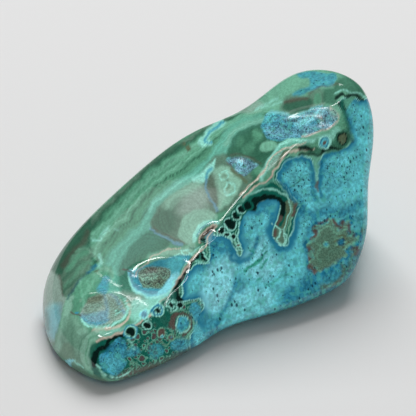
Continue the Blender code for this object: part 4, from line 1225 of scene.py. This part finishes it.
def lay_front(skin):
    """Teal ground under the ridge, then the chrysocolla face with its deep blue outline."""
    skin.patch("deep_teal", UNDER_RIDGE, soft=0.4)
    lay_matrix_ground(skin)
    rows, distance, cover = skin.patch("deep_blue", BLUE_FACE, soft=0.3, rims=FACE_RIMS)
    seen = skin.seen[rows]
    for key, inset, soft in FACE_SHELLS:
        skin.lay(key, edge_cover(distance + inset, soft) * seen, rows)
    skin.fibres[rows] *= 1.0 - cover
    skin.dashes[rows] *= 1.0 - cover
    inset, soft = FACE_DASHES
    skin.dashes[rows] += edge_cover(distance + inset, soft) * seen
    for extra, soft, corners in BUSY_PLACES:
        line = flowing(corners, closed=True)
        rows = skin.near(line, soft)
        inside = edge_cover(area_distance(skin.place[rows], line), soft)
        skin.dashes[rows] += extra * inside * skin.seen[rows]
    lay_tables(skin, FRONT_PATCHES, FRONT_STROKES, {})
    rows, distance, cover = skin.patch("grey_green", STAR, soft=0.25, rims=STAR_RIMS)
    skin.lay("dark_green", edge_cover(distance + 0.5, 1.0) * skin.seen[rows] * 0.25, rows)
    skin.texture(rows, cover, *STAR_TEXTURE)
    lay_tables(skin, {}, STAR_STROKES, FRONT_BEADS)


def lay_matrix_ground(skin):
    """The teal ground under the nose ridge that the knots of the matrix are set in."""
    rows, _, cover = skin.patch("deep_teal", MATRIX, soft=0.5)
    skin.texture(rows, cover, *MATRIX_TEXTURE)
    skin.knots[rows] = np.maximum(skin.knots[rows], cover)


def lay_display_side(skin):
    """Every marking of the display side, from the ground up."""
    lay_roof(skin)
    lay_front(skin)
    for patches, strokes, beads in (
        (POCKET_PATCHES, POCKET_STROKES, POCKET_BEADS),
        (NOSE_PATCHES, NOSE_STROKES, NOSE_BEADS),
        (EYE_PATCHES, EYE_STROKES, EYE_BEADS),
        (MATRIX_PATCHES, MATRIX_STROKES, MATRIX_BEADS),
    ):
        lay_tables(skin, patches, strokes, beads)


# ---------------------------------------------------------------- settings
class StoneSettings(bpy.types.PropertyGroup):
    """Finish of the stone and of its studio."""

    polish: bpy.props.FloatProperty(
        name="Polish roughness",
        description="Roughness of the polished faces",
        default=0.09,
        min=0.0,
        max=1.0,
    )
    floor_shade: bpy.props.FloatVectorProperty(
        name="Floor shade",
        description="Colour of the studio floor",
        default=(0.80, 0.80, 0.80),
        min=0.0,
        max=1.0,
        size=3,
        subtype="COLOR",
    )
    sky_strength: bpy.props.FloatProperty(
        name="Surround strength",
        description="Brightness of the pale surround",
        default=0.27,
        min=0.0,
    )


# ---------------------------------------------------------------- material
# Colours of the fine detail, 0 to 255 as on a screen.
GREEN_STAIN = (84, 184, 164)
DARK_DASH = (20, 52, 66)
KNOT_CORE = (78, 74, 74)
KNOT_SKIN = (92, 160, 140)
# Coats of light and dark: noise cells per mm and detail, the noise they run between, and
# the gains there.
GROWTH_COAT = (1.7, 3.0, 0.32, 0.68, 0.86, 1.12)
SILK_COAT = (2.2, 3.0, 0.35, 0.65, 0.86, 1.12)
CLOUD_COAT = (0.42, 3.0, 0.36, 0.64, 0.84, 1.16)
MOTTLE_COAT = (1.5, 3.0, 0.36, 0.64, 0.78, 1.20)
GRAIN_COAT = (3.0, 2.0, 0.40, 0.60, 0.45, 1.50)
# Sway of the growth layers: cells per mm, detail, and swing in layers.
SWAY = (0.9, 2.0, 0.10)
# Greenish stains: cells per mm and detail, step aside in mm, the noise they come in over,
# and strength.
STAIN_NOISE = (0.9, 3.0)
STAIN_STEP = 40.0
STAIN_SPAN = (0.50, 0.62)
STAIN_STRENGTH = 0.38
# Dashes: their lean in radians, their stretch, their least reach in cells and what chance
# adds to it.
DASH_LEAN = (0.35, 0.45, 0.0)
DASH_STRETCH = (1.0, 1.0, 0.55)
DASH_REACH = 0.07
DASH_SPREAD = 0.26
# Where a dash fades, in its reaches, how far crowding raises its luck, and the luck it comes
# in over past its rarity.
DASH_FADE = (1.25, 0.70)
CROWD_LUCK = 0.5
LUCK_SPAN = 0.08
# Each kind of dash: cells per mm, rarity, step aside in mm, and strength.
DASHES = ((1.15, 0.56, 0.0, 0.85), (2.0, 0.74, 17.0, 0.8))
# Threads: cells per mm, detail, half width in noise, the share of it that is full, the
# crowding that they come in over, and strength.
THREAD_NOISE = (1.2, 2.0)
THREAD_WIDTH = 0.016
THREAD_CORE = 0.4
THREAD_SPAN = (0.15, 0.75)
THREAD_STRENGTH = 0.75
# Knots: their drift in mm and its cells per mm, their least reach in cells and what chance
# adds to it, and then, for each kind, cells per mm, rarity and strength.
KNOT_DRIFT = (0.9, 0.9, 0.9)
DRIFT_SCALE = 1.1
KNOT_REACH = 0.28
KNOT_SPREAD = 0.16
KNOTS = ((1.25, 0.50, 0.8), (0.72, 0.15, 1.0))
# Where a knot's core ends, and where its skin starts and ends, in its reaches; and the
# chance it comes in over past its rarity.
CORE_FADE = (1.0, 0.86)
SKIN_RISE = (0.90, 1.04)
SKIN_FADE = (1.42, 1.24)
CHOICE_SPAN = 0.02
# Roughness that full grain adds to the polish, and the polish's own ripple: cells per mm and
# detail, then the bump's strength and its height in m.
GRAIN_DULLING = 0.45
RIPPLE_NOISE = (0.55, 2.0)
RIPPLE = {"Strength": 0.05, "Distance": 0.0006}
STONE_IOR = 1.55


class Graph:
    """Adds nodes to a material and links them."""

    def __init__(self, material):
        self.tree = material.node_tree

    def node(self, kind, inputs=(), **values):
        """A node with its settings; inputs are sockets, numbers or vectors by name or index."""
        made = self.tree.nodes.new(kind)
        for key, value in values.items():
            setattr(made, key, value)
        for key, value in dict(inputs).items():
            if isinstance(value, bpy.types.NodeSocket):
                self.tree.links.new(value, made.inputs[key])
            else:
                made.inputs[key].default_value = value
        return made

    def noise(self, place, scale, detail, flat=False):
        """Fractal noise at so many cells per mm; flat noise runs along one number."""
        key = "W" if flat else "Vector"
        inputs = {key: place, "Scale": scale, "Detail": detail}
        size = "1D" if flat else "3D"
        return self.node("ShaderNodeTexNoise", inputs, noise_dimensions=size).outputs["Fac"]

    def number(self, operation, *values):
        """A number worked out from others."""
        return self.node("ShaderNodeMath", enumerate(values), operation=operation).outputs[0]

    def vector(self, operation, *values):
        """A vector worked out from others."""
        return self.node("ShaderNodeVectorMath", enumerate(values), operation=operation).outputs[0]

    def sum(self, left, right):
        """Two numbers added."""
        return self.number("ADD", left, right)

    def product(self, *values):
        """Numbers multiplied, from the left."""
        total = values[0]
        for value in values[1:]:
            total = self.number("MULTIPLY", total, value)
        return total

    def shifted(self, place, step):
        """Places moved by a step along all three axes."""
        return self.vector("ADD", place, (step, step, step))

    def attribute(self, name, output):
        """What the surface's points carry under a name."""
        return self.node("ShaderNodeAttribute", attribute_name=name).outputs[output]

    def cells(self, place, scale):
        """Distances in a pattern of cells, and each cell's own chances."""
        cell = self.node("ShaderNodeTexVoronoi", {"Vector": place, "Scale": scale}).outputs
        chances = self.node("ShaderNodeSeparateXYZ", {"Vector": cell["Color"]}).outputs
        return cell["Distance"], chances

    def ramp(self, value, start, stop, low=0.0, high=1.0):
        """A value carried smoothly from start..stop to low..high."""
        inputs = {"Value": value, "From Min": start, "From Max": stop, "To Min": low, "To Max": high}
        return self.node("ShaderNodeMapRange", inputs, interpolation_type="SMOOTHSTEP").outputs[0]

    def mix(self, under, over, share):
        """One 0 to 255 screen colour mixed over another colour."""
        made = self.node("ShaderNodeMix", data_type="RGBA")
        self.tree.links.new(share, made.inputs[0])
        self.tree.links.new(under, made.inputs[6])
        made.inputs[7].default_value = (*linear(over), 1.0)
        return made.outputs[2]

    def coated(self, colour, place, coat, share, flat=False):
        """A colour darkened and lightened by one coat's noise, where share allows."""
        scale, detail, start, stop, low, high = coat
        value = self.noise(place, scale, detail, flat)
        swing = self.ramp(value, start, stop, low - 1.0, high - 1.0)
        gain = self.sum(self.product(swing, share), 1.0)
        made = self.node("ShaderNodeVectorMath", {0: colour, "Scale": gain}, operation="SCALE")
        return made.outputs[0]

    def dash_cover(self, in_mm, crowd, scale, rarity):
        """Cover of short dark dashes that lean one way, commoner where crowd is high."""
        inputs = {"Vector": in_mm, "Rotation": DASH_LEAN, "Scale": DASH_STRETCH}
        leaning = self.node("ShaderNodeMapping", inputs).outputs[0]
        distance, chance = self.cells(leaning, scale)
        reach = self.sum(self.product(chance[0], DASH_SPREAD), DASH_REACH)
        away = self.number("DIVIDE", distance, reach)
        luck = self.sum(chance[1], self.product(crowd, CROWD_LUCK))
        chosen = self.ramp(luck, rarity, rarity + LUCK_SPAN)
        return self.product(self.ramp(away, *DASH_FADE), chosen)

    def thread_cover(self, in_mm):
        """Cover of thin winding lines, where fractal noise passes its middle value."""
        middle = self.sum(self.noise(in_mm, *THREAD_NOISE), -0.5)
        away = self.number("ABSOLUTE", middle)
        return self.ramp(away, THREAD_WIDTH, THREAD_WIDTH * THREAD_CORE)

    def knot_covers(self, in_mm, scale, rarity):
        """Covers of the cores and of the thin skins of rounded knots, the rarer ones left out."""
        inputs = {"Vector": in_mm, "Scale": DRIFT_SCALE, "Detail": 1.0}
        drift = self.node("ShaderNodeTexNoise", inputs).outputs["Color"]
        moved = self.vector("ADD", in_mm, self.vector("MULTIPLY", drift, KNOT_DRIFT))
        distance, chance = self.cells(moved, scale)
        chosen = self.ramp(chance[1], rarity, rarity + CHOICE_SPAN)
        reach = self.sum(self.product(chance[0], KNOT_SPREAD), KNOT_REACH)
        away = self.number("DIVIDE", distance, reach)
        core = self.product(self.ramp(away, *CORE_FADE), chosen)
        skin = self.product(self.ramp(away, *SKIN_RISE), self.ramp(away, *SKIN_FADE), chosen)
        return core, skin


def polished_stone(polish):
    """The laid colours with mottling, dashes, fibres and grain, under a clear polish."""
    material = bpy.data.materials.new("polished_stone")
    material.use_nodes = True
    material.node_tree.nodes.clear()
    graph = Graph(material)
    place = graph.node("ShaderNodeTexCoord").outputs["Object"]
    in_mm = graph.node("ShaderNodeMapping", {"Vector": place, "Scale": (1 / MM,) * 3}).outputs[0]
    colour = graph.attribute("stone_tint", "Color")
    texture = graph.attribute("stone_texture", "Vector")
    dashes, fibres, grain = graph.node("ShaderNodeSeparateXYZ", {"Vector": texture}).outputs
    layers = graph.attribute("stone_layers", "Fac")
    knots = graph.attribute("stone_knots", "Fac")

    # Malachite: growth layers of uneven width, and a silky mottling.
    scale, detail, swing = SWAY
    sway = graph.noise(in_mm, scale, detail)
    bent = graph.sum(layers, graph.product(sway, swing))
    colour = graph.coated(colour, bent, GROWTH_COAT, fibres, flat=True)
    colour = graph.coated(colour, in_mm, SILK_COAT, fibres)

    # Chrysocolla: clouds, mottling, greenish stains, winding threads and dark dashes.
    blue = graph.node("ShaderNodeClamp", {"Value": dashes}).outputs[0]
    colour = graph.coated(colour, in_mm, CLOUD_COAT, blue)
    colour = graph.coated(colour, in_mm, MOTTLE_COAT, blue)
    stain = graph.noise(graph.shifted(in_mm, STAIN_STEP), *STAIN_NOISE)
    green = graph.ramp(stain, *STAIN_SPAN)
    colour = graph.mix(colour, GREEN_STAIN, graph.product(green, blue, STAIN_STRENGTH))
    crowd = graph.sum(dashes, -1.0)
    busy = graph.ramp(crowd, *THREAD_SPAN)
    thread = graph.thread_cover(in_mm)
    colour = graph.mix(colour, DARK_DASH, graph.product(thread, busy, THREAD_STRENGTH))
    for scale, rarity, step, strength in DASHES:
        dash = graph.dash_cover(graph.shifted(in_mm, step), crowd, scale, rarity)
        colour = graph.mix(colour, DARK_DASH, graph.product(dash, blue, strength))

    # Matrix: brown knots with pale green skins, large and small, and a coarse grain.
    for scale, rarity, strength in KNOTS:
        core, skin = graph.knot_covers(in_mm, scale, rarity)
        colour = graph.mix(colour, KNOT_CORE, graph.product(core, knots, strength))
        colour = graph.mix(colour, KNOT_SKIN, graph.product(skin, knots, strength))
    colour = graph.coated(colour, in_mm, GRAIN_COAT, grain)

    dulled = graph.sum(graph.product(grain, GRAIN_DULLING), polish)
    ripple = graph.noise(in_mm, *RIPPLE_NOISE)
    bump = graph.node("ShaderNodeBump", {"Height": ripple, **RIPPLE})
    shader = graph.node("ShaderNodeBsdfPrincipled", {
        "Base Color": colour, "Roughness": dulled, "IOR": STONE_IOR, "Normal": bump.outputs[0]})
    graph.node("ShaderNodeOutputMaterial", {"Surface": shader.outputs[0]})
    return material


# ---------------------------------------------------------------- operators
def stone_mesh(points, faces, corner_map):
    """The stone's mesh, moved from the datum point to the frame and flat where it rests."""
    mesh = bpy.data.meshes.new("stone_surface")
    placed = points - np.array([*BED_CENTRE, -BED_DROP])
    placed[:, 2] = np.maximum(placed[:, 2], 0.0)
    mesh.from_pydata((placed * MM).tolist(), [], [face for part in faces for face in part.tolist()])
    mesh.update()
    layer = mesh.uv_layers.new(name="OFBake")
    layer.uv.foreach_set("vector", corner_map.astype(np.float32).ravel())
    mesh.shade_smooth()
    return mesh


def put_values(mesh, name, kind, field, values):
    """Keep an array of values on the mesh's points under a name."""
    made = mesh.attributes.new(name, kind, "POINT")
    made.data.foreach_set(field, values.astype(np.float32).ravel())


class STONE_OT_surface(bpy.types.Operator):
    """Make the polished stone with its markings"""

    bl_idname = "stone.surface"
    bl_label = "Make Stone"

    def execute(self, context):
        points, faces, corner_map = stone_grid()
        mesh = stone_mesh(points, faces, corner_map)
        normals = np.zeros(len(points) * 3, np.float32)
        mesh.vertex_normals.foreach_get("vector", normals)
        skin = Skin(points, normals.reshape(-1, 3).astype(float), context.scene.stone_pigments)
        lay_far_side(skin)
        lay_display_side(skin)
        tint = np.column_stack([skin.colour, np.ones(len(points))])
        texture = np.column_stack([skin.dashes, skin.fibres, skin.grain])
        put_values(mesh, "stone_tint", "FLOAT_COLOR", "color", tint)
        put_values(mesh, "stone_texture", "FLOAT_VECTOR", "vector", texture)
        put_values(mesh, "stone_layers", "FLOAT", "value", skin.layers)
        put_values(mesh, "stone_knots", "FLOAT", "value", skin.knots)
        stone = bpy.data.objects.new("stone_surface", mesh)
        context.scene.collection.objects.link(stone)
        mesh.materials.append(polished_stone(context.scene.stone_settings.polish))
        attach(stone, "root")
        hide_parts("stone")
        return {"FINISHED"}


# The camera: place in mm from the datum point, heading from +Y towards +X, dip below level
# and roll in degrees, and focal length on its sensor.
CAMERA_FROM_DATUM = (-228.3, -325.4, 329.9)
CAMERA_HEADING = 37.705
CAMERA_DIP = 35.784
CAMERA_ROLL = 2.01
CAMERA_LENS_MM = 223.4
SENSOR_MM = 36.0
CLIP_START = 0.01

FLOOR_WIDTH = 3.0
FLOOR_ROUGHNESS = 0.75

# Softboxes: place in m, size in m, and brightness against a white surface's 1.
# A "soak" light is not seen in the polish, and a "glint" light is seen only there.
SOFTBOXES = {
    "back_panel": ((0.73, 1.04, 1.51), (1.40, 0.95), 8.9, "soak"),
    "front_fill": ((-0.42, -0.84, 0.72), (0.50, 0.50), 9.0, "soak"),
    "haze_panel": ((-0.32, 0.30, 0.90), (0.34, 0.34), 1.2, "glint"),
    "ridge_strip": ((-0.06, -0.42, 0.90), (0.34, 0.10), 12.0, "glint"),
    "window": ((-0.50, -0.22, 0.84), (0.42, 0.14), 18.0, "glint"),
    "far_window": ((0.25, 0.41, 0.88), (0.07, 0.05), 9.0, "glint"),
}
# The softbox whose light falls on the stone and not on the floor.
STONE_ONLY = "front_fill"


class STONE_OT_studio(bpy.types.Operator):
    """Make the pale floor, the soft lights and the camera"""

    bl_idname = "stone.studio"
    bl_label = "Make Studio"

    def execute(self, context):
        settings = context.scene.stone_settings
        context.scene.view_settings.view_transform = "Standard"
        self.make_floor(context, settings)
        self.make_surround(context, settings)
        for name, (place, size, brightness, role) in SOFTBOXES.items():
            self.make_light(context, name, place, size, brightness, role)
        self.make_camera(context)
        return {"FINISHED"}

    def make_floor(self, context, settings):
        """A flat square floor."""
        half = FLOOR_WIDTH / 2
        corners = [(-half, -half, 0), (half, -half, 0), (half, half, 0), (-half, half, 0)]
        mesh = bpy.data.meshes.new("studio_floor")
        mesh.from_pydata(corners, [], [(0, 1, 2, 3)])
        floor = bpy.data.objects.new("studio_floor", mesh)
        context.scene.collection.objects.link(floor)
        material = bpy.data.materials.new("pale_floor")
        material.use_nodes = True
        shader = material.node_tree.nodes["Principled BSDF"]
        shader.inputs["Base Color"].default_value = (*settings.floor_shade, 1.0)
        shader.inputs["Roughness"].default_value = FLOOR_ROUGHNESS
        mesh.materials.append(material)

    def make_surround(self, context, settings):
        """An even pale surround that is not seen in the polish."""
        world = bpy.data.worlds.new("pale_surround")
        world.use_nodes = True
        background = world.node_tree.nodes["Background"]
        background.inputs["Color"].default_value = (1.0, 1.0, 1.0, 1.0)
        background.inputs["Strength"].default_value = settings.sky_strength
        world.cycles_visibility.glossy = False
        context.scene.world = world

    def make_light(self, context, name, place, size, brightness, role):
        """A rectangular area light that faces the stone; its power is pi * brightness * area."""
        lamp = bpy.data.lights.new(name, "AREA")
        lamp.shape = "RECTANGLE"
        lamp.size, lamp.size_y = size
        lamp.energy = math.pi * brightness * size[0] * size[1]
        light = bpy.data.objects.new(name, lamp)
        light.matrix_world = looking(place, -np.array(place))
        light.visible_glossy = role != "soak"
        light.visible_diffuse = role != "glint"
        if name == STONE_ONLY:
            light.light_linking.receiver_collection = self.stone_alone(context)
        context.scene.collection.objects.link(light)

    def stone_alone(self, context):
        """A collection that holds the stone and not the floor, for the fill light to fall on."""
        stone = context.scene.objects.get("stone_surface")
        if stone is None:
            raise RuntimeError("Make the stone before its studio")
        alone = bpy.data.collections.new("fill_falls_on")
        alone.objects.link(stone)
        return alone

    def make_camera(self, context):
        """A level camera at the display view, then rolled a little about its own axis."""
        lens = bpy.data.cameras.new("display_camera")
        lens.sensor_width = SENSOR_MM
        lens.lens = CAMERA_LENS_MM
        lens.clip_start = CLIP_START
        camera = bpy.data.objects.new("display_camera", lens)
        datum = np.array([-BED_CENTRE[0], -BED_CENTRE[1], BED_DROP])
        heading = math.radians(CAMERA_HEADING)
        dip = math.radians(CAMERA_DIP)
        level = math.cos(dip)
        aim = (math.sin(heading) * level, math.cos(heading) * level, -math.sin(dip))
        place = (datum + np.array(CAMERA_FROM_DATUM)) * MM
        camera.matrix_world = looking(place, aim, math.radians(CAMERA_ROLL))
        context.scene.collection.objects.link(camera)
        context.scene.camera = camera


def looking(place, aim, roll=0.0):
    """Matrix of an object at place that looks along aim, with its +X raised from level by roll."""
    aim = Vector(aim).normalized()
    level = aim.cross(Vector((0.0, 0.0, 1.0))).normalized()
    across = Matrix.Rotation(-roll, 3, aim) @ level
    turn = Matrix((across, across.cross(aim), -aim)).transposed()
    return Matrix.Translation(Vector(place)) @ turn.to_4x4()


class STONE_PT_panel(bpy.types.Panel):
    """Sidebar panel with the stone's makers"""

    bl_idname = "STONE_PT_panel"
    bl_label = "Polished Stone"
    bl_space_type = "VIEW_3D"
    bl_region_type = "UI"
    bl_category = "Stone"

    def draw(self, context):
        for operator in (STONE_OT_surface, STONE_OT_studio):
            self.layout.operator(operator.bl_idname)


CLASSES = (StonePigments, StoneSettings, STONE_OT_surface, STONE_OT_studio, STONE_PT_panel)


def register():
    """Register the classes and hang their settings on the scene."""
    for made in CLASSES:
        bpy.utils.register_class(made)
    bpy.types.Scene.stone_pigments = bpy.props.PointerProperty(type=StonePigments)
    bpy.types.Scene.stone_settings = bpy.props.PointerProperty(type=StoneSettings)


def unregister():
    """Take the settings and classes away again."""
    del bpy.types.Scene.stone_settings
    del bpy.types.Scene.stone_pigments
    for made in reversed(CLASSES):
        bpy.utils.unregister_class(made)


def main():
    """Register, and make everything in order."""
    register()
    bpy.ops.stone.surface()
    bpy.ops.stone.studio()
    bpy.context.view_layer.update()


if __name__ == "__main__":
    main()
